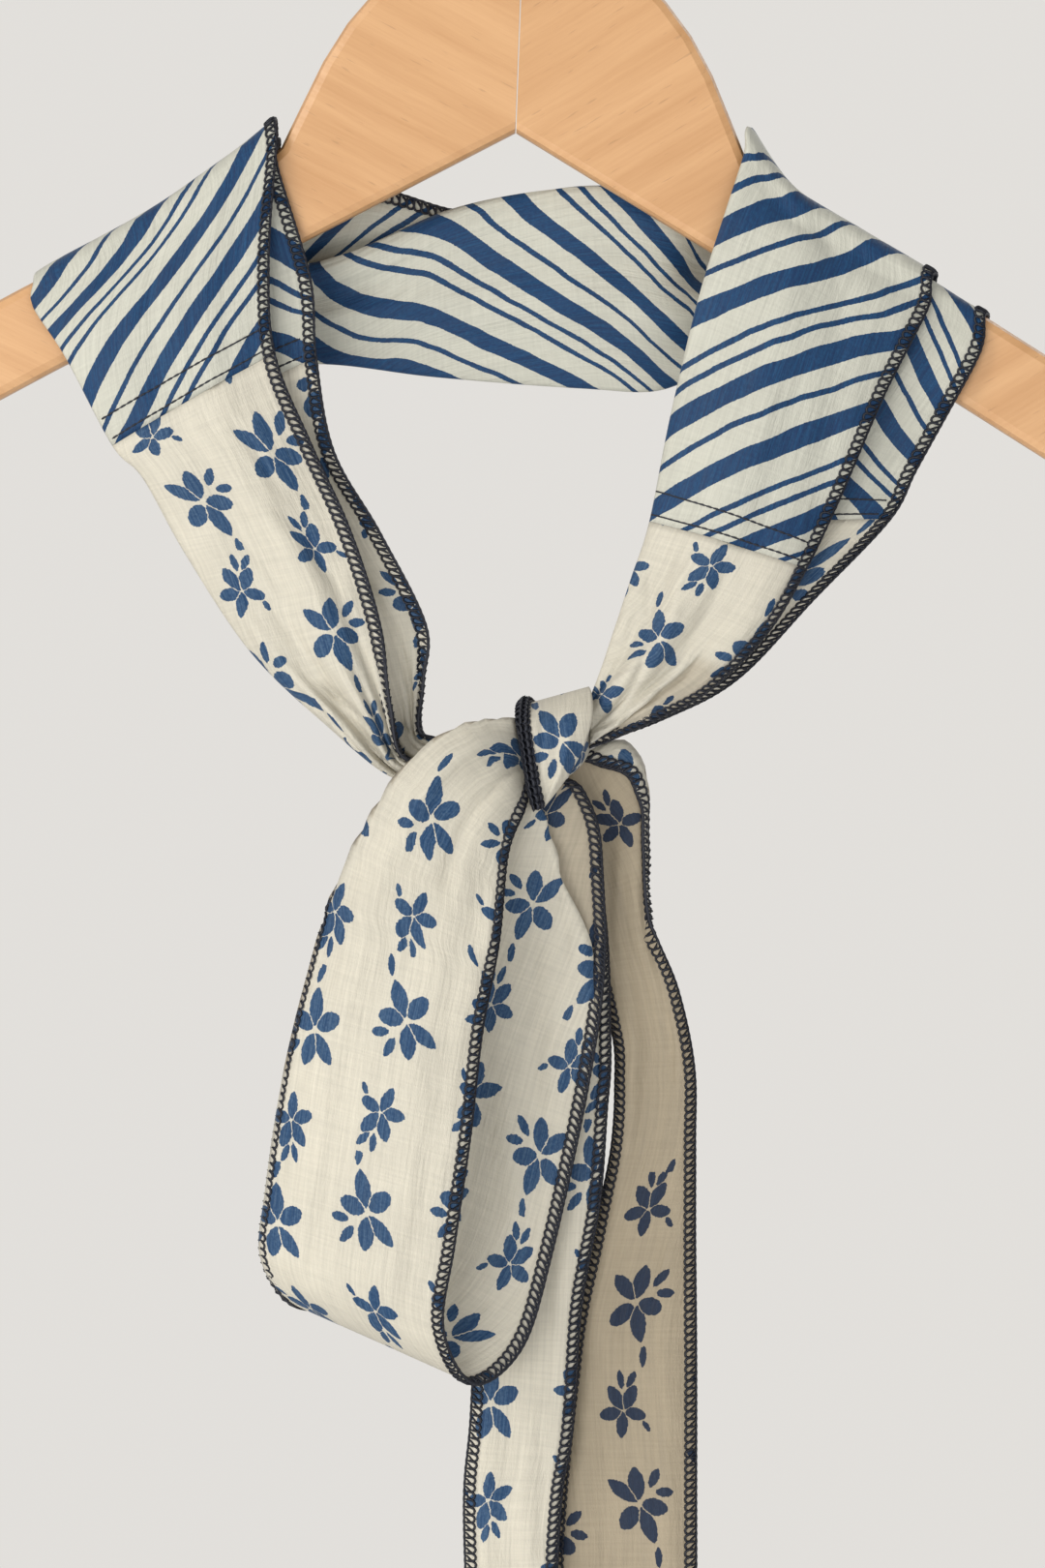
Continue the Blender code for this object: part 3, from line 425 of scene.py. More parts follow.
# ---------------------------------------------------------------- creases
# Start and end of each crease as (place in the stretch's rows, share across the cloth), then the ridge's
# height (a trough's is negative) and half width in millimetres. On folded cloth a share of 0 is the fold
# and 1 the hems, and both layers take the crease; on a single layer 0 is its left edge. Heights are out
# of layer A, so where layer B is the one in front, a ridge that the viewer sees has a negative height.
CREASES = {
    "left_front_floral": (
        (6.5, 0.46, 5.3, 0.54, 0.9, 7.0),
        (6.4, 0.65, 4.9, 0.77, -0.9, 5.0),
        (5.2, 0.68, 4.5, 0.79, -1.7, 6.0),
        (4.8, 0.34, 3.8, 0.48, 1.1, 7.0),
        (5.6, 0.19, 4.3, 0.20, -0.8, 6.0),
        (4.4, 0.86, 2.9, 0.95, 1.0, 5.0),
        (3.4, 0.36, 2.1, 0.83, -2.6, 3.6),
        (3.3, 0.20, 2.1, 0.38, 1.3, 3.2),
    ),
    "left_shoulder_striped": (
        (3.4, 0.38, 0.6, 0.10, 0.8, 9.0),
        (3.4, 0.66, 0.1, 0.34, -0.8, 7.0),
        (3.4, 0.86, 0.0, 0.64, 0.7, 6.0),
    ),
    "back_neck_striped": (
        (1.1, 0.34, 1.8, 0.41, 0.7, 4.0),
        (2.4, 0.23, 3.5, 0.38, 0.7, 4.0),
        (2.9, 0.44, 4.2, 0.64, -0.6, 5.0),
        (1.6, 0.66, 2.4, 0.67, -0.6, 5.0),
    ),
    "right_shoulder_striped": (
        (7.4, 0.23, 12.9, 0.54, -0.8, 10.0),
        (9.5, 0.52, 12.7, 0.98, 0.9, 7.0),
        (9.8, 0.05, 11.6, 0.10, 0.6, 6.0),
    ),
    "right_front_floral": (
        (0.7, 0.08, 3.8, 0.65, 1.5, 4.0),
        (0.7, 0.29, 3.4, 0.65, -1.3, 5.0),
        (0.5, 0.56, 2.8, 0.59, 1.2, 5.0),
    ),
    "bow_loop": (
        (0.0, 0.70, 2.6, 0.61, -2.0, 5.0),
        (0.2, 0.27, 2.4, 0.26, 1.4, 6.0),
        (0.4, 0.09, 1.8, 0.05, -1.2, 4.0),
        (1.1, 1.00, 3.0, 0.94, 1.3, 5.0),
        (2.4, 0.83, 4.6, 0.79, -1.1, 9.0),
        (3.1, 0.23, 6.0, 0.22, 1.0, 11.0),
        (5.0, 0.82, 7.0, 0.81, -1.0, 9.0),
        (4.8, 0.31, 6.8, 0.31, -0.7, 7.0),
        (13.3, 0.52, 12.0, 0.83, 1.2, 4.0),
        (12.1, 0.41, 10.7, 0.75, -1.1, 7.0),
        (11.3, 0.36, 10.2, 0.73, 0.9, 7.0),
        (10.6, 0.81, 9.6, 0.85, -0.8, 7.0),
    ),
    "tail_left": (
        (4.9, 0.46, 7.5, 0.64, 0.8, 6.0),
        (4.6, 0.67, 7.5, 0.85, -0.7, 5.0),
    ),
    "tail_right": (
        (2.9, 0.59, 6.1, 0.21, 0.9, 7.0),
        (3.2, 0.95, 6.1, 0.71, -0.9, 5.0),
        (6.1, 0.34, 8.4, 0.29, -0.8, 7.0),
        (8.2, 0.75, 10.6, 0.80, 0.7, 7.0),
        (9.0, 0.26, 10.6, 0.36, -0.7, 6.0),
    ),
    "knot_wrap": (
        (1.9, 0.34, 3.8, 0.22, -0.9, 2.6),
        (1.9, 0.68, 4.2, 0.74, 0.9, 3.2),
    ),
}

# ---------------------------------------------------------------- colours, linear, and the studio
STRIPED_COLOURS = ((0.555, 0.548, 0.468), (0.001, 0.029, 0.098), (0.005, 0.068, 0.172))
FLORAL_COLOURS = ((0.685, 0.645, 0.54), (0.009, 0.053, 0.142), (0.072, 0.145, 0.25))
# The wrong side's cream and blues: the duller reverse of the print, darkened further with painted shade.
SHADED_WRONG_SIDE_COLOURS = ((0.42, 0.352, 0.248), (0.008, 0.019, 0.048), (0.018, 0.036, 0.075))
THREAD_COLOUR = (0.004, 0.005, 0.011)
THREAD_LIGHTER = (0.012, 0.015, 0.026)
WOOD_LIGHT = (0.555, 0.315, 0.145)
WOOD_DARK = (0.46, 0.24, 0.097)
STEEL_DARK = (0.55, 0.55, 0.56)
STEEL_LIGHT = (0.72, 0.72, 0.71)
WORLD_COLOUR = (0.76, 0.74, 0.71)       # as the camera sees it
WORLD_LIGHT = (0.58, 0.575, 0.57)       # as it lights the cloth

LIGHT_AIM = (0.0, 0.0, -0.3)
# Name, place in metres, diameter in metres, power in watts, colour.
LIGHTS = (
    ("key", (-1.8, -1.3, 0.7), 0.9, 24.0, (1.0, 0.98, 0.95)),
    ("front", (-1.0, -2.1, -0.7), 1.5, 30.0, (1.0, 0.99, 0.97)),
    ("fill", (0.7, -2.1, -0.9), 1.6, 15.0, (0.95, 0.97, 1.0)),
    ("rim", (0.9, 1.6, 0.8), 1.2, 6.0, (1.0, 1.0, 1.0)),
)
FLOOR_Z = -1.3          # in metres, as its half side
FLOOR_HALF = 3.0
FLOOR_GREY = (0.72, 0.78)

PHOTO_WIDTH = 1080
PHOTO_HEIGHT = 1620
PHOTO_PX_PER_MM = 3.35
PHOTO_NOTCH_X = 533
PHOTO_NOTCH_Y = 137
CAMERA_DISTANCE = 2500.0
SENSOR_WIDTH = 36.0
CLIP_RANGE = (0.05, 50.0)       # in metres


# ---------------------------------------------------------------- small helpers
def facts_of(name):
    """What the table of stretches says about one of them, by column."""
    return dict(zip(STRETCH_COLUMNS, STRETCHES[name]))


def unit(vector):
    return vector.normalized() if vector.length > LEAST_LENGTH else Vector((0.0, 0.0, 1.0))


def smooth_value(before, start, end, after, part):
    """The Catmull-Rom curve between start and end."""
    slope_in = (end - before) / 2
    slope_out = (after - start) / 2
    rest = end - start
    cubic = slope_in + slope_out - 2 * rest
    square = 3 * rest - 2 * slope_in - slope_out
    return ((cubic * part + square) * part + slope_in) * part + start


def row_at(rows, place):
    """The row at a place along the table, smoothed between its rows."""
    last = len(rows) - 1
    index = min(int(place), last - 1)
    near = (rows[max(index - 1, 0)], rows[index], rows[index + 1], rows[min(index + 2, last)])
    return [smooth_value(*values, place - index) for values in zip(*near)]


def value_at(table, place):
    """A value from a short table of (place, value), smooth between its rows and level past its ends."""
    if place <= table[0][0]:
        return table[0][1]
    for (start, low), (end, high) in zip(table, table[1:]):
        if place <= end:
            part = (place - start) / (end - start)
            return low + (high - low) * part * part * (3 - 2 * part)
    return table[-1][1]


def stretch_value(tables, name, place):
    """The same from one stretch's table, or 0 where it has none."""
    return value_at(tables.get(name, NOTHING), place)


def lengths_along(points):
    """Running length at each point of a line."""
    total = [0.0]
    for here, following in zip(points, points[1:]):
        total.append(total[-1] + (following - here).length)
    return total


def step_at(total, reach):
    """The step of a line where its running length comes to reach, and the part of that step.

    The part is below 0 or above 1 where reach lies past one of the line's ends.
    """
    index = min(max(bisect.bisect_right(total, reach) - 1, 0), len(total) - 2)
    return index, (reach - total[index]) / max(LEAST_LENGTH, total[index + 1] - total[index])


def drawn_to_pleat(part, kept, column, line):
    """A share of the cloth moved so that the column of points at kept lies on a pleat's line.

    The next column lies just past it. Also returns whether the share is past the line.
    """
    if part < kept + column / 2:
        return part * line / kept, False
    rest = (part - kept - column) / (1.0 - kept - column)
    return line + PLEAT_EDGE + rest * (1.0 - line - PLEAT_EDGE), True


def shaded_wrong_share(name, turned, pleat_depth):
    """How much of the wrong side's colour, darkened with painted shade, a point takes, from 0 to 1;
    pleat_depth is 0 before a pleat.
    """
    wrong_and_shade = SHADED_WRONG_SIDE.get(name, 0.0)
    if turned:
        return 1.0 - wrong_and_shade
    return max(wrong_and_shade, SHADED_WRONG_PAST_PLEAT.get(name, 0.0) * min(1.0, pleat_depth))


def turned_place(reach, visible, lift):
    """Where a point at a reach along the cloth lies when its edge is turned over: its share and its lift."""
    if reach <= visible:
        return reach / visible, 0.0
    past = reach - visible
    return 1.0 - past / visible, lift * math.sin(min(1.0, past / TURN_ROUND) * math.pi / 2)


def crease_height(creases, place, across, pitch, width):
    """Sum of the creases at a place along a table of rows and a share across the cloth.

    pitch is the millimetres a row stands for, so that a crease's half width is a real size.
    """
    here = Vector((place * pitch, across * width))
    height = 0.0
    for start_place, start_across, end_place, end_across, ridge, half_width in creases:
        start = Vector((start_place * pitch, start_across * width))
        line = Vector((end_place * pitch, end_across * width)) - start
        part = (here - start).dot(line) / line.length_squared
        nearest = start + line * min(1.0, max(0.0, part))
        distance = (here - nearest).length
        if distance < CREASE_REACH * half_width:
            height += ridge * math.exp(-(CREASE_SHARPNESS * distance / half_width) ** 2)
    return height


def flutter(point, seed):
    """Gentle unevenness of the cloth at a point in millimetres."""
    return FLUTTER * noise.noise(point / FLUTTER_SCALE + Vector((seed, 0.0, 0.0)))


# ---------------------------------------------------------------- meshes
def wall_normals(grid):
    """The way out of the cloth at each point of a grid."""
    last_row = len(grid) - 1
    last = len(grid[0]) - 1
    normals = []
    for i, section in enumerate(grid):
        ahead = grid[min(i + 1, last_row)]
        behind = grid[max(i - 1, 0)]
        normals.append([
            unit((ahead[j] - behind[j]).cross(section[min(j + 1, last)] - section[max(j - 1, 0)]))
            for j in range(last + 1)
        ])
    return normals


def smooth_mesh(name, points, faces):
    """A smooth mesh from points in millimetres."""
    mesh = bpy.data.meshes.new(name)
    mesh.from_pydata([point * MM for point in points], [], faces)
    mesh.shade_smooth()
    return mesh


def add_piece(name, mesh, slot, finishes):
    """Links a mesh as a piece of the object that rides on its one body."""
    mesh.materials.append(finishes[slot])
    piece = bpy.data.objects.new(name, mesh)
    bpy.context.scene.collection.objects.link(piece)
    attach(piece, BODY)
    return piece


def cloth_mesh(name, grid, cloth, sides, bare):
    """A thin closed shell round a grid of points, with its cloth coordinates in a UV layer.

    cloth(i, face, j) gives (u, v) in millimetres for grid point (i, j) as a corner of a face in that
    column of faces. sides holds how much of the wrong side's colour, darkened with painted shade, each grid
    point takes, and bare, for each row of the grid, whether the print is left out there.
    """
    long = len(grid)
    across = len(grid[0])
    count = long * across
    normals = wall_normals(grid)
    points = [
        grid[i][j] + normals[i][j] * side * CLOTH_THICKNESS
        for side in (0.5, -0.5) for i in range(long) for j in range(across)
    ]
    faces = []
    corners = []
    for i in range(long - 1):
        for j in range(across - 1):
            ring = ((i, j), (i, j + 1), (i + 1, j + 1), (i + 1, j))
            outer = [a * across + b for a, b in ring]
            places = [cloth(a, j, b) for a, b in ring]
            faces += [outer, [count + index for index in reversed(outer)]]
            corners += [places, places[::-1]]
    rim = [(0, j) for j in range(across)]
    rim += [(i, across - 1) for i in range(1, long)]
    rim += [(long - 1, j) for j in range(across - 2, -1, -1)]
    rim += [(i, 0) for i in range(long - 2, 0, -1)]
    for pair in zip(rim, rim[1:] + rim[:1]):
        a, b = (i * across + j for i, j in pair)
        near, far = (cloth(i, min(j, across - 2), j) for i, j in pair)
        faces.append([b, a, count + a, count + b])
        corners.append([far, near, near, far])
    mesh = smooth_mesh(name, points, faces)
    flat = [value * MM for face in corners for place in face for value in place]
    mesh.uv_layers.new(name="cloth").data.foreach_set("uv", flat)
    # The first attribute is the share of the wrong side's colour, which holds painted shade.
    per_point = {
        "wrong_side_and_shade": [side for row in sides for side in row],
        "bare": [value for value in bare for column in range(across)],
    }
    for label, values in per_point.items():
        mesh.attributes.new(label, "FLOAT", "POINT").data.foreach_set("value", values * 2)
    return mesh


def add_cloth(name, grid, sides, places, cloth, finishes):
    """A stretch's dressed piece, and its two hems.

    A hem has, for each row, its points from the edge inward and the way out of the cloth.
    """
    first_bare, last_bare = BARE.get(name, NOWHERE)
    bare = [1.0 if first_bare < place < last_bare else 0.0 for place in places]
    mesh = cloth_mesh(name + "_cloth", grid, cloth, sides, bare)
    piece = add_piece(name + "_cloth", mesh, facts_of(name)["cloth"], finishes)
    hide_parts(name)
    rows = list(zip(grid, wall_normals(grid)))
    start_hem = [(section[:HEM_DEPTH], normals[0]) for section, normals in rows]
    end_hem = [(section[:-HEM_DEPTH - 1:-1], normals[-1]) for section, normals in rows]
    return piece, (start_hem, end_hem)


def tube(path, radius, sides):
    """Points and faces of a thin closed tube along a path, its rings turned as little as possible."""
    points = []
    normal = None
    for index, here in enumerate(path):
        ahead = unit(path[min(index + 1, len(path) - 1)] - path[max(index - 1, 0)])
        if normal is None:
            normal = unit(ahead.orthogonal())
        normal = unit(normal - ahead * normal.dot(ahead))
        other = ahead.cross(normal)
        for side in range(sides):
            angle = 2 * math.pi * side / sides
            points.append(here + (normal * math.cos(angle) + other * math.sin(angle)) * radius)
    faces = []
    for ring in range(len(path) - 1):
        for side in range(sides):
            a = ring * sides + side
            b = ring * sides + (side + 1) % sides
            faces.append((a, b, b + sides, a + sides))
    faces.append(tuple(range(sides))[::-1])
    faces.append(tuple((len(path) - 1) * sides + side for side in range(sides)))
    return points, faces


def add_threads(name, threads, finishes):
    """One piece made of a tube along each path; threads are (paths, radius, sides)."""
    points = []
    faces = []
    for paths, radius, sides in threads:
        for path in paths:
            more_points, more_faces = tube(path, radius, sides)
            start = len(points)
            points += more_points
            faces += [[start + index for index in face] for face in more_faces]
    return add_piece(name, smooth_mesh(name, points, faces), "overlock_thread", finishes)


# ---------------------------------------------------------------- the hanger's upper edge
def tilted(x, z):
    """A point of the hanger, given from its notch, after the hanger's tilt."""
    turned_x = x * math.cos(HANGER_TILT) + z * math.sin(HANGER_TILT)
    turned_z = z * math.cos(HANGER_TILT) - x * math.sin(HANGER_TILT)
    return turned_x, turned_z - NOTCH_DROP


def arm_top(x):
    """Height of the hanger's tilted upper edge at x."""
    side = 1.0 if x > 0 else -1.0
    near = tilted(side * ARM_ROOT[0], ARM_ROOT[1])
    far_drop = ARM_ROOT[1] - ARM_SLOPE * (HANGER_HALF_LENGTH - ARM_ROOT[0])
    far = tilted(side * HANGER_HALF_LENGTH, far_drop)
    return near[1] + (far[1] - near[1]) * (x - near[0]) / (far[0] - near[0])


# ---------------------------------------------------------------- folded stretches
def fold_round(part):
    """How far a layer has opened from the fold: 0 at the fold and 1 past its round."""
    if part >= FOLD_PORTION:
        return 1.0
    return math.sqrt(1.0 - (1.0 - part / FOLD_PORTION) ** 2)


def layer_parts():
    """Places across a layer from its hem (1) to near its fold (0), closer together round the fold."""
    flat = [1.0 - (1.0 - FOLD_PORTION) * step / LAYER_STEPS for step in range(LAYER_STEPS + 1)]
    turns = [math.pi / 2 * step / FOLD_STEPS for step in range(FOLD_STEPS - 1, 0, -1)]
    return flat + [FOLD_PORTION * (1.0 - math.cos(turn)) for turn in turns]


def gather_depth(width):
    """Depth of the gathers in a folded section that is narrower than its cloth."""
    return GATHER_DEPTH * min(1.0, max(0.0, (GATHER_FROM - width) / (GATHER_FROM - GATHER_FULL)))


def gather_wave(part, place):
    """Uneven gathers across a layer, from -1 to 1, that run along the strip."""
    along, along_waves = GATHER_DRIFT_ALONG
    across, across_waves = GATHER_DRIFT_ACROSS
    waves = GATHERS * part + along * math.sin(along_waves * place) + across * math.sin(across_waves * part)
    return math.sin(2 * math.pi * waves)


def leaned(name, u, v):
    """Cloth coordinates turned and spread on a stretch whose bias cloth has sheared."""
    turn, spread = STRIPE_LEAN.get(name, (0.0, 0.0))
    if v > FOLDED_WIDTH:
        v -= spread * (2 * FOLDED_WIDTH - v) ** 2 / FOLDED_WIDTH
    else:
        v += spread * v ** 2 / FOLDED_WIDTH - 2 * spread * FOLDED_WIDTH
    turn = math.radians(turn)
    return u * math.cos(turn) - v * math.sin(turn), u * math.sin(turn) + v * math.cos(turn)


def folded_section(row, along, place, name, pitch):
    """Points across a folded strip, from hem A round the fold to hem B, and how much of the wrong side's
    painted-shade colour each takes.
    """
    pleat_across = stretch_value(PLEAT_LINE, name, place)
    pleat_depth = stretch_value(PLEAT_DEPTH, name, place)
    turn_b = stretch_value(HEM_B_TURN, name, place)
    fold, hem_a, hem_b = (Vector(row[edge:edge + 3]) for edge in EDGES)
    gap, belly_a, belly_b, pleat, tip, lift_a, lift_b = row[9:]
    middle_line = (hem_a + hem_b) / 2 - fold
    width = middle_line.length
    normal = unit(unit(middle_line).cross(along))
    layers = []
    for hem, sign, belly, lift in ((hem_a, 1.0, belly_a, lift_a), (hem_b, -1.0, belly_b, lift_b)):
        layer = []
        for part in layer_parts():
            turned = 0.0
            past = False
            if sign < 0 and turn_b > 0:
                part, turned = turned_place(part * (width + turn_b), width, HEM_TURN_LIFT)
            if sign < 0 and pleat_depth > 0:
                part, past = drawn_to_pleat(part, PLEAT_LINE[name][0][1], LAYER_COLUMN, pleat_across)
            lean = fold_round(part) * gap / 2 + belly * math.sin(math.pi * part) - turned
            if past:
                lean -= pleat_depth
            free = min(1.0, part / FOLD_PORTION / 2)
            wave = pleat * math.sin(2 * math.pi * PLEATS * part) * free
            stand = tip * max(0.0, 1.0 - part / TIP_PORTION) ** 2 + lift * part ** LIFT_POWER
            point = fold + (hem - fold) * part
            point += normal * (sign * lean + wave) + Vector((0.0, 0.0, stand))
            crease = crease_height(CREASES[name], place, part, pitch, FOLDED_WIDTH)
            crease += flutter(point, sign)
            crease += gather_depth(width) * gather_wave(part, place) * GATHER_SHARE.get(name, 1.0)
            # Past a pleat's line the cloth takes the wrong side's colour, which is partly painted shade.
            side = shaded_wrong_share(name, False, pleat_depth if past else 0.0)
            layer.append((point + normal * crease * free, side))
        layers.append(layer)
    at_fold = (fold + Vector((0.0, 0.0, tip)), shaded_wrong_share(name, False, 0.0))
    return zip(*layers[0], at_fold, *layers[1][::-1])


def crossing_rows(crossing, forward):
    """Rows that carry the folded strip over an arm, from the front when forward is true."""
    rows = []
    for depth, rise in ARM_WRAP if forward else ARM_WRAP[::-1]:
        row = []
        for edge in ("fold_x", "a_x", "b_x"):
            x = crossing[edge] + crossing["slip"] * min(0.0, depth)
            row += [x, depth, arm_top(x) + rise]
        row += [ARM_WRAP_GAP, 0.0, 0.0, 0.0]
        rows.append(tuple(row) + tuple(crossing[column] for column in ARM_COLUMNS))
    return tuple(rows)


def neck_table():
    """All rows of the folded strip, and each stretch's name, first row, last row and end allowance."""
    over_left = LEFT_SHOULDER + crossing_rows(LEFT_CROSSING, True) + BEHIND_LEFT
    over_right = BEHIND_RIGHT + crossing_rows(RIGHT_CROSSING, False) + RIGHT_SHOULDER + RIGHT_SEAM
    stretches = (
        ("left_front_floral", LEFT_FRONT + LEFT_SEAM, SEAM_ROUND),
        ("left_shoulder_striped", over_left, JOIN_ROUND),
        ("back_neck_striped", BEHIND, JOIN_ROUND),
        ("right_shoulder_striped", over_right, SEAM_ROUND),
        ("right_front_floral", RIGHT_FRONT, SEAM_ROUND),
    )
    plain = (0.0,) * len(ARM_COLUMNS)
    rows = []
    spans = []
    for name, part, end_round in stretches:
        spans.append((name, max(len(rows) - 1, 0), len(rows) + len(part) - 1, end_round))
        rows += [row if len(row) > len(NECK_COLUMNS) else row + plain for row in part]
    return rows, spans


def middle(row):
    """Middle of a folded section."""
    return (Vector(row[0:3]) * 2 + Vector(row[3:6]) + Vector(row[6:9])) / 4


def seam_share(rows, place, direction):
    """Share of a row's step that is half of the gap at a seam, measured where the rows are closest."""
    near = row_at(rows, place + direction * SEAM_PROBE)
    steps = [
        (Vector(near[edge:edge + 3]) - Vector(rows[place][edge:edge + 3])).length / SEAM_PROBE
        for edge in EDGES
    ]
    return min(MOST_SEAM_SHARE, SEAM_GAP / 2 / min(steps))


def places_between(rows, start, end, middle_of):
    """Places along a table, so close that the middle of a section moves about a step at a time."""
    places = [start]
    index = int(math.floor(start))
    while places[-1] < end - SAME_PLACE:
        low = places[-1]
        high = min(index + 1.0, end)
        reach = (middle_of(row_at(rows, high)) - middle_of(row_at(rows, low))).length
        pieces = max(2, math.ceil(reach / CLOTH_STEP))
        places += [low + (high - low) * k / pieces for k in range(1, pieces + 1)]
        index += 1
    return places


def add_neck_stretch(rows, span, start_round, finishes):
    """One stretch of the folded strip. Returns the piece, its two hems and its grid of points."""
    name, start, end, end_round = span
    first = start + (seam_share(rows, start, 1) * start_round if start > 0 else 0.0)
    last = end - (seam_share(rows, end, -1) * end_round if end < len(rows) - 1 else 0.0)
    places = places_between(rows, first, last, middle)
    run = lengths_along([middle(row_at(rows, place)) for place in places])
    pitch = run[-1] / (places[-1] - places[0])
    grid = []
    sides = []
    for place in places:
        ahead = middle(row_at(rows, min(place + COURSE_PROBE, len(rows) - 1)))
        behind = middle(row_at(rows, max(place - COURSE_PROBE, 0)))
        along = unit(ahead - behind)
        section, section_wrong_and_shade = folded_section(row_at(rows, place), along, place - start, name, pitch)
        grid.append(section)
        sides.append(section_wrong_and_shade)
    fold = len(layer_parts())
    from_a = [lengths_along(section[:fold + 1]) for section in grid]
    from_b = [lengths_along(section[fold:][::-1])[::-1] for section in grid]
    start_u = facts_of(name)["start_u"]

    def cloth(i, face, column):
        if face < fold:
            return leaned(name, start_u + run[i], from_a[i][column])
        return leaned(name, start_u + run[i], 2 * FOLDED_WIDTH - from_b[i][column - fold])

    piece, hems = add_cloth(name, grid, sides, places, cloth, finishes)
    return piece, hems, grid


# ---------------------------------------------------------------- single stretches
def strip_section(row, place, name, pitch):
    """Points across a single layer, from its left hem to its right hem, and how much of the wrong side's
    painted-shade colour each takes.
    """
    left = Vector(row[0:3])
    right = Vector(row[3:6])
    belly, ripple = row[6:]
    outward = unit(right - left)
    left = left - outward * stretch_value(LEFT_WAVE, name, place)
    right = right + outward * stretch_value(RIGHT_WAVE, name, place)
    visible = max(1.0, (right - left).length)
    left_turn = stretch_value(LEFT_TURN, name, place)
    right_turn = stretch_value(RIGHT_TURN, name, place)
    turn_lift = TURN_SIDE.get(name, 1.0) * TURN_LIFT
    pleat_across = stretch_value(PLEAT_LINE, name, place)
    pleat_depth = stretch_value(PLEAT_DEPTH, name, place)
    width = facts_of(name)["width"]
    points = []
    sides = []
    for step in range(STRIP_STEPS + 1):
        reach = -left_turn + (visible + left_turn + right_turn) * step / STRIP_STEPS
        past = False
        if reach < 0:
            part, lift = turned_place(visible - reach, visible, turn_lift)
            part = 1.0 - part
        else:
            part, lift = turned_place(reach, visible, turn_lift)
        if name in PLEAT_LINE and place > PLEAT_LINE[name][0][0]:
            part, past = drawn_to_pleat(part, PLEAT_LINE[name][0][1], 1.0 / STRIP_STEPS, pleat_across)
        # Turned edges, and cloth past a pleat's line, take the wrong side's colour, which is partly painted
        # shade.
        sides.append(shaded_wrong_share(name, reach < 0 or reach > visible, pleat_depth if past else 0.0))
        forward = belly * math.sin(math.pi * part) + ripple * math.sin(2 * math.pi * RIPPLES * part)
        point = left.lerp(right, part)
        forward += crease_height(CREASES[name], place, part, pitch, width)
        forward += flutter(point, STRIP_SEED) + lift
        if past:
            forward -= pleat_depth
        points.append(point + Vector((0.0, -forward, 0.0)))
    return points, sides


def strip_middle(row):
    return (Vector(row[0:3]) + Vector(row[3:6])) / 2


def add_strip(name, table, finishes):
    """One single stretch, its cloth coordinates starting from its left edge. Returns it and its hems."""
    places = places_between(table, 0.0, len(table) - 1.0, strip_middle)
    run = lengths_along([strip_middle(row_at(table, place)) for place in places])
    pitch = run[-1] / places[-1]
    grid, sides = zip(*(strip_section(row_at(table, place), place, name, pitch) for place in places))
    across = [lengths_along(section) for section in grid]
    start_u = facts_of(name)["start_u"]
    start_v = [value_at(CLOTH_LEFT[name], place) for place in places]
    sign = CLOTH_SIGN.get(name, 1.0)

    def cloth(i, face, column):
        return start_u + sign * run[i], start_v[i] + sign * across[i][column]

    return add_cloth(name, grid, sides, places, cloth, finishes)


# ---------------------------------------------------------------- overlock and stitches
def steadied(hem):
    """The hem with its direction out of the cloth evened over a few neighbouring rows."""
    made = []
    for index, (points, normal) in enumerate(hem):
        near = hem[max(index - HEM_STEADY, 0):index + HEM_STEADY + 1]
        made.append((points, unit(sum((place[1] for place in near), Vector()))))
    return made


def hem_at(hem, total, reach):
    """The hem at a distance along it: its points from the edge inward, and the way out of the cloth."""
    index, part = step_at(total, min(max(reach, 0.0), total[-1]))
    points = [here.lerp(following, part) for here, following in zip(hem[index][0], hem[index + 1][0])]
    return points, unit(hem[index][1].lerp(hem[index + 1][1], part))


def laid_in(points, reach):
    """The place on the cloth at a distance inward from its edge; a negative one is beyond the edge."""
    index, part = step_at(lengths_along(points), reach)
    return points[index] + (points[index + 1] - points[index]) * part


def overlock_paths(hem):
    """Threads of an overlocked edge: slanting loops on each face, and the cord along the edge."""
    total = lengths_along([points[0] for points, normal in hem])
    count = max(2, round(total[-1] / STITCH_PITCH))
    pitch = total[-1] / count
    loops = []
    for side in (1.0, -1.0):
        path = []
        for stitch in range(count):
            for step, (depth, along) in enumerate(LOOP_COURSE):
                points, normal = hem_at(hem, total, (stitch + along) * pitch)
                climb = min(1.0, CLIMB_AT_EDGE + CLIMB_INWARD * depth)
                over = THREAD_CROSSING * THREAD_RADIUS * math.cos(math.pi * step / (len(LOOP_COURSE) - 1))
                rise = (CLOTH_THICKNESS / 2 + THREAD_RADIUS * THREAD_REST) * climb + over
                reach = depth * (OVERLOCK_WIDTH - EDGE_OVERHANG) - EDGE_OVERHANG * (1.0 - depth)
                path.append(laid_in(points, reach) + normal * side * rise)
        loops.append(path)
    cord = []
    for step in range(2 * count + 1):
        points, normal = hem_at(hem, total, step * pitch / 2)
        bead = EDGE_BEAD if step % 2 == 0 else 0.0
        cord.append(laid_in(points, -EDGE_OVERHANG - bead))
    return loops, [cord]


def hem_bundle(hem):
    """Copies of a hem turned about its line, as where several hems are gathered into one roll."""
    bundle = []
    for turn, shift in BUNDLE_TURNS:
        angle = math.radians(turn)
        turned = []
        for points, normal in hem:
            edge = points[0]
            inward = unit(points[2] - edge)
            leaning = inward * math.cos(angle) + normal * math.sin(angle)
            raised = normal * math.cos(angle) - inward * math.sin(angle)
            start = edge + inward * shift + normal * abs(shift)
            turned.append(([start + leaning * (point - edge).length for point in points], raised))
        bundle.append(turned)
    return bundle


def add_overlock(name, hems, finishes):
    """The overlock thread along a stretch's hems, one piece."""
    loops = []
    cords = []
    for hem in hems:
        more_loops, more_cords = overlock_paths(steadied(hem))
        loops += more_loops
        cords += more_cords
    threads = ((loops, THREAD_RADIUS, THREAD_SIDES), (cords, EDGE_RADIUS, EDGE_SIDES))
    return add_threads(name + "_overlock", threads, finishes)


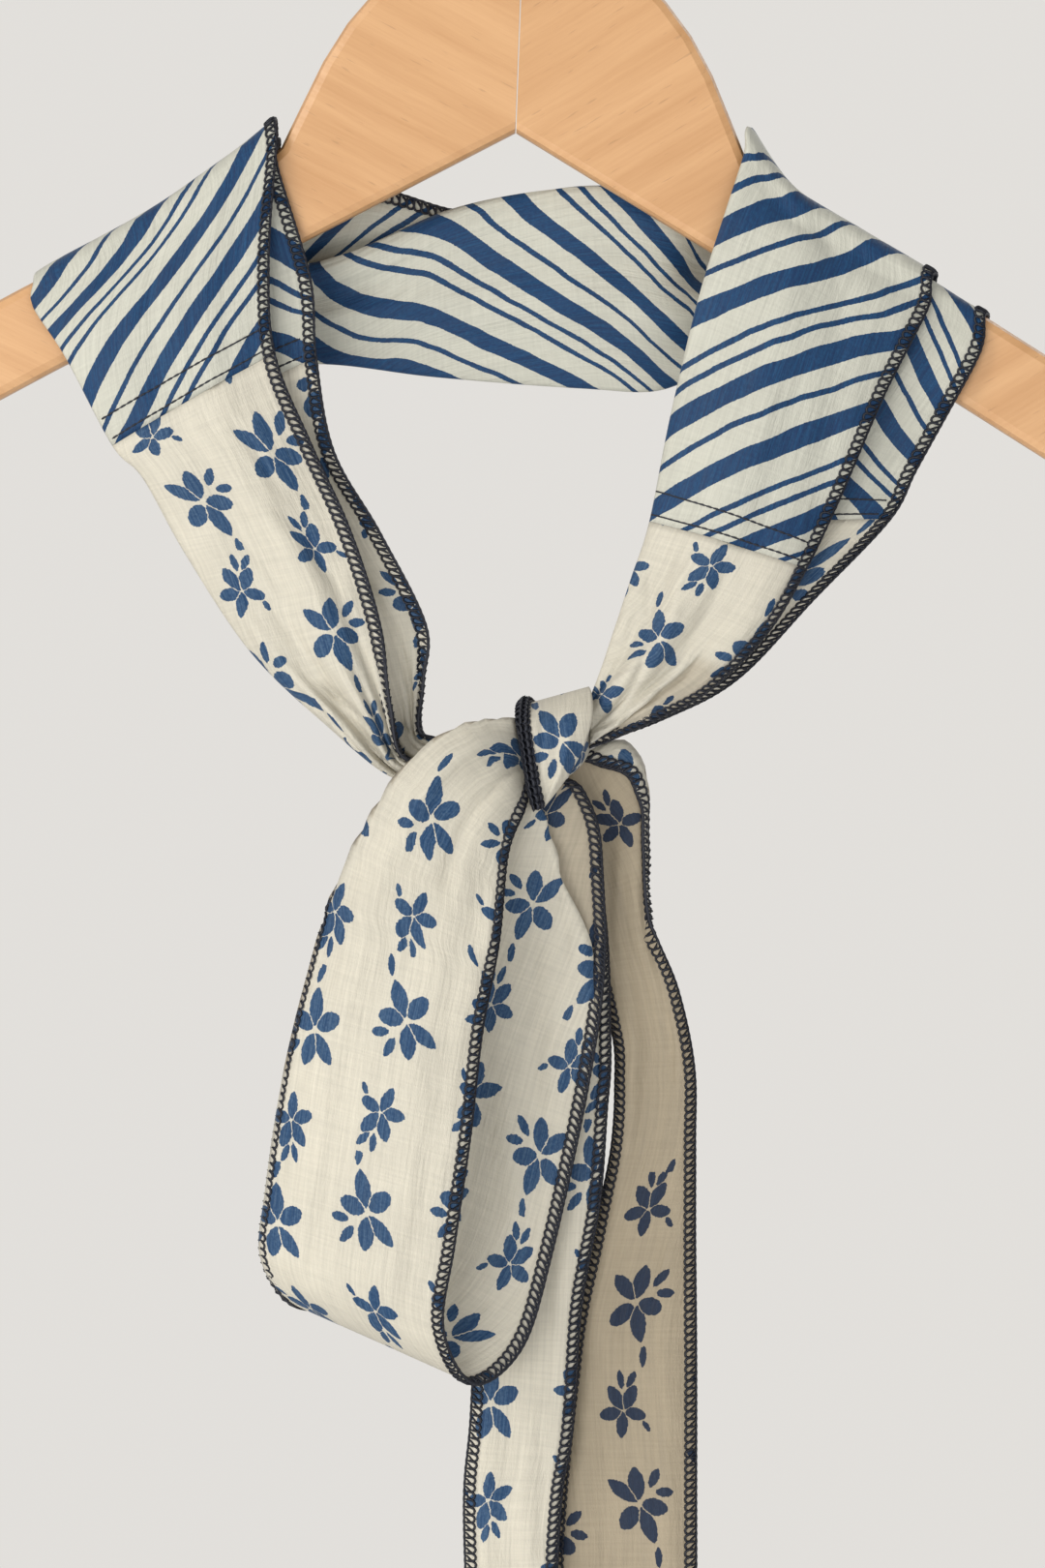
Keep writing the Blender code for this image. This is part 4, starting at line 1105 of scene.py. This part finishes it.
def stitch_row(section, normals, columns, side):
    """Lockstitches across a section on one face: a line that dips into the cloth between stitches."""
    points = [section[column] for column in columns]
    total = lengths_along(points)
    count = max(2, round(total[-1] / SEAM_STITCH * STITCH_STEPS))
    path = []
    for step in range(count + 1):
        index, part = step_at(total, total[-1] * step / count)
        point = points[index].lerp(points[index + 1], part)
        normal = unit(normals[columns[index]].lerp(normals[columns[index + 1]], part))
        dip = SEAM_THREAD_RADIUS * SEAM_THREAD_DIP * math.cos(step * math.pi / (STITCH_STEPS / 2))
        path.append(point + normal * (side * (CLOTH_THICKNESS / 2 + dip)))
    return path


def add_seam(name, grid, finishes):
    """Rows of stitches across both layers of a shoulder, on both faces of each."""
    normals = wall_normals(grid)
    columns = len(grid[0])
    fold = len(layer_parts())
    paths = []
    for back in SEAM_ROWS:
        row = back if SEAM_AT_START[name] else len(grid) - 1 - back
        for span in (range(2, fold - 1), range(fold + 1, columns - 2)):
            for side in (1.0, -1.0):
                paths.append(stitch_row(grid[row], normals[row], span, side))
    threads = ((paths, SEAM_THREAD_RADIUS, SEAM_THREAD_SIDES),)
    return add_threads(name + "_seam", threads, finishes)


# ---------------------------------------------------------------- materials
class Value:
    """A number in a shader's tree. Arithmetic on it adds the nodes that work out the result."""

    def __init__(self, nodes, socket):
        self.nodes = nodes
        self.socket = socket

    def __add__(self, other):
        return self.nodes.math("ADD", self, other)

    def __sub__(self, other):
        return self.nodes.math("SUBTRACT", self, other)

    def __rsub__(self, other):
        return self.nodes.math("SUBTRACT", other, self)

    def __mul__(self, other):
        return self.nodes.math("MULTIPLY", self, other)

    def __truediv__(self, other):
        return self.nodes.math("DIVIDE", self, other)


class Nodes:
    """Short calls that add and link shader nodes in one tree."""

    def __init__(self, tree):
        self.tree = tree

    def put(self, socket, value):
        if isinstance(value, Value):
            value = value.socket
        if isinstance(value, bpy.types.NodeSocket):
            self.tree.links.new(value, socket)
        else:
            socket.default_value = value

    def fill(self, node, inputs):
        """Puts a node's inputs, in order from a tuple or by name from a dictionary."""
        for key, value in inputs.items() if isinstance(inputs, dict) else enumerate(inputs):
            self.put(node.inputs[key], value)

    def add(self, kind, inputs=(), **settings):
        node = self.tree.nodes.new(kind)
        for name, value in settings.items():
            setattr(node, name, value)
        self.fill(node, inputs)
        return node

    def math(self, operation, *terms):
        return Value(self, self.add("ShaderNodeMath", terms, operation=operation).outputs[0])

    def vector_math(self, operation, *vectors):
        return self.add("ShaderNodeVectorMath", vectors, operation=operation).outputs[0]

    def scaled(self, vector, factors):
        return self.vector_math("MULTIPLY", vector, factors)

    def turned(self, vector, axis, angle, **settings):
        inputs = {"Vector": vector, "Angle": angle}
        return self.add("ShaderNodeVectorRotate", inputs, rotation_type=axis, **settings).outputs[0]

    def combine(self, x, y, z=0.0):
        return self.add("ShaderNodeCombineXYZ", (x, y, z)).outputs[0]

    def separate(self, vector):
        return [Value(self, output) for output in self.add("ShaderNodeSeparateXYZ", (vector,)).outputs]

    def noise(self, vector, scale=1.0, detail=2.0, roughness=0.5, wanted=0):
        """Noise as a number, or as a colour when wanted is 1."""
        inputs = {"Vector": vector, "Scale": scale, "Detail": detail, "Roughness": roughness}
        output = self.add("ShaderNodeTexNoise", inputs, noise_dimensions="3D").outputs[wanted]
        return output if wanted else Value(self, output)

    def mix(self, factor, first, second, blend="MIX"):
        inputs = {"Factor": factor, "A": first, "B": second}
        return self.add("ShaderNodeMix", inputs, data_type="RGBA", blend_type=blend).outputs["Result"]

    def shaded(self, colour, grey):
        """A colour made darker or lighter by a number."""
        return self.mix(1.0, colour, self.combine(grey, grey, grey), "MULTIPLY")

    def steps(self, factor, stops):
        """Grey values that change at once at each stop; a stop is (position, grey value)."""
        node = self.add("ShaderNodeValToRGB", (factor,))
        node.color_ramp.interpolation = "CONSTANT"
        elements = node.color_ramp.elements
        while len(elements) < len(stops):
            elements.new(1.0)
        for element, (position, grey) in zip(elements, stops):
            element.position = position
            element.color = (grey, grey, grey, 1.0)
        return node.outputs[0]

    def spread(self, value, low, high, to_low=0.0, to_high=1.0):
        """A value between low and high carried to the range from to_low to to_high, and held to it."""
        node = self.add("ShaderNodeMapRange", (value, low, high, to_low, to_high), clamp=True)
        return Value(self, node.outputs[0])

    def bump(self, height, strength, distance):
        inputs = {"Strength": strength, "Distance": distance, "Height": height}
        return self.add("ShaderNodeBump", inputs).outputs["Normal"]

    def attribute(self, name):
        """A value that the mesh carries at each of its points."""
        return self.add("ShaderNodeAttribute", attribute_type="GEOMETRY", attribute_name=name).outputs["Fac"]


def principled_material(name, roughness, metallic=0.0):
    made = bpy.data.materials.new(name)
    made.use_nodes = True
    nodes = Nodes(made.node_tree)
    shader = made.node_tree.nodes["Principled BSDF"]
    nodes.fill(shader, {"Roughness": roughness, "Metallic": metallic})
    return made, nodes, shader


def solid_material(name, roughness, metallic=0.0):
    """The same with its place in the object's own coordinates, for what isn't cloth."""
    made, nodes, shader = principled_material(name, roughness, metallic)
    return made, nodes, shader, nodes.add("ShaderNodeTexCoord").outputs["Object"]


def rgba(colour):
    return (*colour, 1.0)


def node_group(name, given, result):
    """A new group's nodes, its inputs, given as (name, kind), and its one float output."""
    tree = bpy.data.node_groups.new(name, "ShaderNodeTree")
    for label, kind in given:
        tree.interface.new_socket(label, in_out="INPUT", socket_type="NodeSocket" + kind)
    tree.interface.new_socket(result, in_out="OUTPUT", socket_type="NodeSocketFloat")
    nodes = Nodes(tree)
    return nodes, nodes.add("NodeGroupInput").outputs, nodes.add("NodeGroupOutput").inputs[0]


def petal_group():
    """A node group: over 0 inside one petal or leaf, from its centre, its axis and its half sizes."""
    nodes, given, result = node_group("petal", (
        ("Place", "Vector"), ("Centre", "Vector"), ("Angle", "Float"), ("Half size", "Vector"),
        ("Roundness", "Float"),
    ), "Shape")
    moved = nodes.vector_math("SUBTRACT", given["Place"], given["Centre"])
    turned = nodes.turned(moved, "Z_AXIS", given["Angle"], invert=True)
    along, across, _ = nodes.separate(nodes.vector_math("DIVIDE", turned, given["Half size"]))
    across = nodes.math("POWER", nodes.math("ABSOLUTE", across), given["Roundness"])
    nodes.put(result, 1.0 - (along * along + across))
    return nodes.tree


def motif_group(name, petals, heart, petal):
    """A node group: 1 inside one printed flower, its leaves and its bud, from a place in millimetres."""
    nodes, given, result = node_group(name, (("Place", "Vector"),), "Print")
    place = given["Place"]
    most = -1.0
    second = -1.0
    for x, y, angle, half_length, half_width, roundness in petals:
        shape = nodes.add("ShaderNodeGroup", {
            "Place": place, "Centre": (x, y, 0.0), "Angle": math.radians(angle),
            "Half size": (half_length, half_width, 1.0), "Roundness": roundness,
        }, node_tree=petal).outputs[0]
        second = nodes.math("MAXIMUM", second, nodes.math("MINIMUM", most, shape))
        most = nodes.math("MAXIMUM", most, shape)
    apart = nodes.spread(most - second, *PETAL_GAP)
    single = nodes.spread(second, *SINGLE_PETAL, 1.0, 0.0)
    printed = nodes.spread(most, *PRINT_EDGE) * nodes.math("MAXIMUM", apart, single)
    from_heart = nodes.add("ShaderNodeVectorMath", (place,), operation="LENGTH").outputs["Value"]
    nodes.put(result, printed * nodes.spread(from_heart, heart * HEART_EDGE, heart))
    return nodes.tree


def cloth_place(nodes):
    """Cloth coordinates in millimetres: (u along the strip, v across it)."""
    layer = nodes.add("ShaderNodeUVMap", uv_map="cloth")
    return nodes.scaled(layer.outputs[0], (1.0 / MM, 1.0 / MM, 0.0))


def slubs(nodes, place):
    """Uneven threads: long streaks along the cloth and shorter ones across it, about 0 to 1."""
    along = nodes.noise(nodes.scaled(place, SLUB_ALONG), 1.0, 3.0, 0.6)
    return along, nodes.noise(nodes.scaled(place, SLUB_ACROSS), 1.0, 2.0, 0.55)


def finish_cloth(nodes, shader, place, colour, through):
    """Slubs, fine weave, crinkle and a little light through the cloth, on top of its printed colour."""
    along, across = slubs(nodes, place)
    colour = nodes.shaded(colour, nodes.spread(along * 0.65 + across * 0.35, *NOISE_RANGE, *SLUB_TINT))
    colour = nodes.shaded(colour, nodes.spread(nodes.noise(place, BLOTCH_SCALE), *NOISE_RANGE, *BLOTCH_TINT))
    crinkle = nodes.noise(nodes.scaled(place, CRINKLE_STRETCH), 1.0, 4.0, 0.6)
    weave = nodes.noise(nodes.scaled(place, WEAVE_STRETCH), 1.0, 1.0)
    height = crinkle + weave * WEAVE_HEIGHT + along * SLUB_HEIGHT
    nodes.fill(shader, {
        "Base Color": colour,
        "Roughness": nodes.spread(along, *NOISE_RANGE, *CLOTH_ROUGHNESS),
        "Sheen Weight": 0.12,
        "Sheen Roughness": 0.5,
        "Specular IOR Level": 0.35,
        "Normal": nodes.bump(height, 0.65, CRINKLE_HEIGHT * MM),
    })
    glow = nodes.add("ShaderNodeBsdfTranslucent", {"Color": colour})
    blend = nodes.add("ShaderNodeMixShader", (through, shader.outputs[0], glow.outputs[0]))
    nodes.put(nodes.tree.nodes["Material Output"].inputs["Surface"], blend.outputs[0])


def print_colour(nodes, place, blue, blue_pale):
    """The print's uneven blue: mottled, with threads that took less dye."""
    along, _ = slubs(nodes, nodes.scaled(place, DYE_STRETCH))
    pale = along * 0.7 + nodes.noise(place, 0.9, 3.0, 0.7) * 0.5
    return nodes.mix(nodes.spread(pale, *DYE_RANGE), blue, blue_pale)


def striped_cloth(name):
    """Bias stripes, a repeat of thick and thin ones across the strip's cloth coordinates."""
    made, nodes, shader = principled_material(name, 0.6)
    place = cloth_place(nodes)
    u, v, _ = nodes.separate(place)
    lean = math.radians(STRIPE_ANGLE)
    across = u * math.sin(lean) + v * math.cos(lean)
    across = across + nodes.noise(place, 0.045) * STRIPE_WAVER + nodes.noise(place, 1.3) * STRIPE_RAGGED
    stops = [(0.0, 0.0)]
    for centre, width in STRIPES:
        stops.append(((centre - width / 2) / STRIPE_REPEAT, 1.0))
        stops.append(((centre + width / 2) / STRIPE_REPEAT, 0.0))
    mask = nodes.steps(nodes.math("FRACT", across / STRIPE_REPEAT), stops)
    cream, blue, blue_pale = STRIPED_COLOURS
    colour = nodes.mix(mask, rgba(cream), print_colour(nodes, place, rgba(blue), rgba(blue_pale)))
    finish_cloth(nodes, shader, place, colour, STRIPED_THROUGH)
    return made


def floral_cloth(name):
    """Small block-printed flowers in lengthwise columns, a large one and a small one by turns.

    The mesh says where the print is left out and where the cloth takes the wrong side's colours, which are
    darkened with painted shade.
    """
    petal = petal_group()
    large = motif_group("large_flower", LARGE_FLOWER, LARGE_HEART, petal)
    small = motif_group("small_flower", SMALL_FLOWER, SMALL_HEART, petal)
    made, nodes, shader = principled_material(name, 0.6)
    place = cloth_place(nodes)
    ragged = nodes.vector_math("SUBTRACT", nodes.noise(place, 1.1, wanted=1), (0.5, 0.5, 0.5))
    ragged = nodes.scaled(ragged, (PRINT_RAGGED, PRINT_RAGGED, 0.0))
    u, v, _ = nodes.separate(nodes.vector_math("ADD", place, ragged))
    column = nodes.math("FLOOR", v / COLUMN_WIDTH)
    across = v - (column + 0.5) * COLUMN_WIDTH
    shifted = u + column * COLUMN_SHIFT
    row = nodes.math("FLOOR", shifted / MOTIF_REPEAT)
    along = shifted - row * MOTIF_REPEAT
    cell = {"Vector": nodes.combine(column, row, 0.5)}
    chance = nodes.add("ShaderNodeTexWhiteNoise", cell, noise_dimensions="3D")
    drift_x, drift_y, turn = nodes.separate(chance.outputs["Color"])
    printed = []
    for motif, centre, sign in ((large, LARGE_CENTRE, 1.0), (small, SMALL_CENTRE, -1.0)):
        x = across + nodes.spread(drift_x, 0.0, 1.0, -MOTIF_DRIFT * sign, MOTIF_DRIFT * sign)
        y = centre - along + nodes.spread(drift_y, 0.0, 1.0, -MOTIF_DRIFT, MOTIF_DRIFT)
        angle = nodes.spread(turn, 0.0, 1.0, -MOTIF_TURN * sign, MOTIF_TURN * sign)
        spun = nodes.turned(nodes.combine(x, y), "Z_AXIS", angle)
        printed.append(nodes.add("ShaderNodeGroup", (spun,), node_tree=motif).outputs[0])
    printed = nodes.math("MAXIMUM", *printed) * nodes.math("LESS_THAN", nodes.attribute("bare"), 0.5)
    # Painted shade: the wrong side's duller, darker colours where the mesh's attribute asks for them.
    wrong_and_shade = nodes.attribute("wrong_side_and_shade")
    cream, blue, blue_pale = (
        nodes.mix(wrong_and_shade, rgba(bright), rgba(dull_and_shaded)) for bright, dull_and_shaded in zip(FLORAL_COLOURS, SHADED_WRONG_SIDE_COLOURS)
    )
    colour = nodes.mix(printed, cream, print_colour(nodes, place, blue, blue_pale))
    finish_cloth(nodes, shader, place, colour, FLORAL_THROUGH)
    return made


def thread_material(name):
    made, nodes, shader, place = solid_material(name, 0.62)
    fibre = nodes.noise(place, 1800.0)
    nodes.fill(shader, {
        "Base Color": nodes.mix(nodes.spread(fibre, 0.4, 0.75), rgba(THREAD_COLOUR), rgba(THREAD_LIGHTER)),
        "Normal": nodes.bump(fibre, 0.3, 0.1 * MM),
    })
    return made


def wood_material(name, grain_angle):
    """Pale close-grained wood, its grain along one arm of the hanger."""
    made, nodes, shader, place = solid_material(name, 0.42)
    turned = nodes.turned(place, "Y_AXIS", grain_angle)
    drift = nodes.noise(turned, 9.0, wanted=1)
    bent = nodes.vector_math("ADD", turned, nodes.scaled(drift, GRAIN_DRIFT))
    broad = nodes.noise(nodes.scaled(bent, BROAD_GRAIN), 1.0, 3.0, 0.6)
    fine = nodes.noise(nodes.scaled(bent, FINE_GRAIN), 1.0, 3.0, 0.65)
    grain = nodes.spread(broad * 0.7 + fine * 0.3, *GRAIN_RANGE)
    colour = nodes.mix(grain, rgba(WOOD_LIGHT), rgba(WOOD_DARK))
    pores = nodes.spread(nodes.noise(nodes.scaled(bent, PORES), 1.0, 1.0), *PORE_RANGE, 0.0, 0.35)
    nodes.fill(shader, {
        "Base Color": nodes.mix(pores, colour, rgba([part * PORE_SHADE for part in WOOD_DARK])),
        "Roughness": nodes.spread(fine, *NOISE_RANGE, 0.38, 0.52),
        "Normal": nodes.bump(fine, 0.18, 0.2 * MM),
        "Coat Weight": 0.15,
        "Coat Roughness": 0.35,
    })
    return made


def steel_material(name):
    made, nodes, shader, place = solid_material(name, 0.28, 1.0)
    drawn = nodes.noise(place, 420.0, 3.0)
    nodes.fill(shader, {
        "Base Color": nodes.mix(drawn, rgba(STEEL_DARK), rgba(STEEL_LIGHT)),
        "Roughness": nodes.spread(drawn, *NOISE_RANGE, 0.2, 0.36),
        "Normal": nodes.bump(drawn, 0.06, 0.05 * MM),
    })
    return made


# ---------------------------------------------------------------- knot
def add_knot_core(finishes):
    """The turns of cloth inside the knot: a rounded bundle with shallow folds along the wrap."""
    points = []
    for ring in range(KNOT_RINGS + 1):
        tilt = math.pi * ring / KNOT_RINGS
        for step in range(KNOT_STEPS):
            turn = 2 * math.pi * step / KNOT_STEPS
            swell = 1.0 + KNOT_FOLD_DEPTH * math.sin(KNOT_FOLDS * turn + KNOT_FOLD_SLANT * math.cos(tilt))
            outward = (math.sin(tilt) * math.cos(turn), math.sin(tilt) * math.sin(turn), math.cos(tilt))
            points.append(Vector(
                centre + (radius + KNOT_SWELL) * way * swell
                for centre, radius, way in zip(KNOT_CENTRE, KNOT_RADII, Vector(outward))
            ))
    faces = []
    for ring in range(KNOT_RINGS):
        for step in range(KNOT_STEPS):
            a = ring * KNOT_STEPS + step
            b = ring * KNOT_STEPS + (step + 1) % KNOT_STEPS
            faces.append((a, a + KNOT_STEPS, b + KNOT_STEPS, b))
    mesh = smooth_mesh("knot_core_cloth", points, faces)
    layer = mesh.uv_layers.new(name="cloth")
    for loop in mesh.loops:
        ring, step = divmod(loop.vertex_index, KNOT_STEPS)
        layer.data[loop.index].uv = (ring * KNOT_CLOTH_STEP * MM, step * KNOT_CLOTH_STEP * MM)
    piece = add_piece("knot_core_cloth", mesh, "floral_cloth", finishes)
    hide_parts("knot_core")


# ---------------------------------------------------------------- studio
def add_floor():
    corners = ((-1, -1), (1, -1), (1, 1), (-1, 1))
    mesh = bpy.data.meshes.new("floor")
    mesh.from_pydata([(x * FLOOR_HALF, y * FLOOR_HALF, FLOOR_Z) for x, y in corners], [], [(0, 1, 2, 3)])
    made, nodes, shader, place = solid_material("floor_plain", 0.8)
    grey = nodes.spread(nodes.noise(place, 3.0), 0.0, 1.0, *FLOOR_GREY)
    nodes.fill(shader, {"Base Color": nodes.combine(grey, grey, grey)})
    mesh.materials.append(made)
    floor = bpy.data.objects.new("floor", mesh)
    bpy.context.scene.collection.objects.link(floor)


def add_area_light(name, place, size, power, colour):
    data = bpy.data.lights.new(name, "AREA")
    data.shape = "DISK"
    data.size = size
    data.energy = power
    data.color = colour
    lamp = bpy.data.objects.new(name, data)
    lamp.location = place
    lamp.rotation_euler = (Vector(LIGHT_AIM) - Vector(place)).to_track_quat("-Z", "Y").to_euler()
    bpy.context.scene.collection.objects.link(lamp)


def add_studio():
    world = bpy.data.worlds.new("studio")
    world.use_nodes = True
    nodes = Nodes(world.node_tree)
    seen = nodes.add("ShaderNodeLightPath").outputs["Is Camera Ray"]
    sky = nodes.mix(seen, rgba(WORLD_LIGHT), rgba(WORLD_COLOUR))
    nodes.fill(world.node_tree.nodes["Background"], {"Color": sky})
    bpy.context.scene.world = world
    bpy.context.scene.view_settings.view_transform = "Standard"
    for light in LIGHTS:
        add_area_light(*light)
    add_floor()


def add_camera():
    """The photograph's view: level, the photograph's long side the frame's height at its scale."""
    data = bpy.data.cameras.new("camera")
    data.sensor_width = SENSOR_WIDTH
    data.sensor_fit = "AUTO"
    frame_height = PHOTO_HEIGHT / PHOTO_PX_PER_MM
    data.lens = data.sensor_width * CAMERA_DISTANCE / frame_height
    data.clip_start, data.clip_end = CLIP_RANGE
    camera = bpy.data.objects.new("camera", data)
    x = (PHOTO_WIDTH / 2 - PHOTO_NOTCH_X) / PHOTO_PX_PER_MM
    z = (PHOTO_NOTCH_Y - PHOTO_HEIGHT / 2) / PHOTO_PX_PER_MM - NOTCH_DROP
    camera.location = (x * MM, -CAMERA_DISTANCE * MM, z * MM)
    camera.rotation_euler = (math.pi / 2, 0.0, 0.0)
    bpy.context.scene.collection.objects.link(camera)
    bpy.context.scene.camera = camera


# ---------------------------------------------------------------- the whole
def declare_sheet(name, piece, trimming):
    """Works out the flat size that a stretch was cut to.

    A cut that narrows is a trapezium, so its area is worked out too. Nothing is done with these values.
    """
    facts = facts_of(name)
    width = facts["width"]
    length = facts["length"]
    area = None
    if facts["narrow_end"] is not None:
        area = (width + facts["narrow_end"]) / 2 * length * MM * MM
    width * MM
    length * MM
    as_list(facts["rests_on"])


def add_folded_cloth(finishes):
    rows, spans = neck_table()
    start_round = SEAM_ROUND
    for span in spans:
        name = span[0]
        piece, hems, grid = add_neck_stretch(rows, span, start_round, finishes)
        start_round = span[3]
        trimming = [add_overlock(name, hems, finishes)]
        if name in SEAM_AT_START:
            trimming.append(add_seam(name, grid, finishes))
        declare_sheet(name, piece, trimming)


def add_single_cloth(finishes):
    for name, table in STRIPS.items():
        piece, hems = add_strip(name, table, finishes)
        if name == "knot_wrap":
            hems = hem_bundle(hems[0])
        declare_sheet(name, piece, [add_overlock(name, hems, finishes)])


def finish_hanger():
    finishes = {
        "hanger_left_half": wood_material("wood_left", -(ARM_SLOPE_ANGLE - HANGER_TILT)),
        "hanger_right_half": wood_material("wood_right", ARM_SLOPE_ANGLE + HANGER_TILT),
        "hook": steel_material("steel_wire"),
    }
    for name, finish in finishes.items():
        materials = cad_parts[name].data.materials
        materials.clear()
        materials.append(finish)


def build():
    finishes = {
        "striped_cloth": striped_cloth("striped_cloth"),
        "floral_cloth": floral_cloth("floral_cloth"),
        "overlock_thread": thread_material("overlock_thread"),
    }
    add_folded_cloth(finishes)
    add_single_cloth(finishes)
    add_knot_core(finishes)
    finish_hanger()
    add_studio()
    add_camera()


build()
bpy.context.view_layer.update()
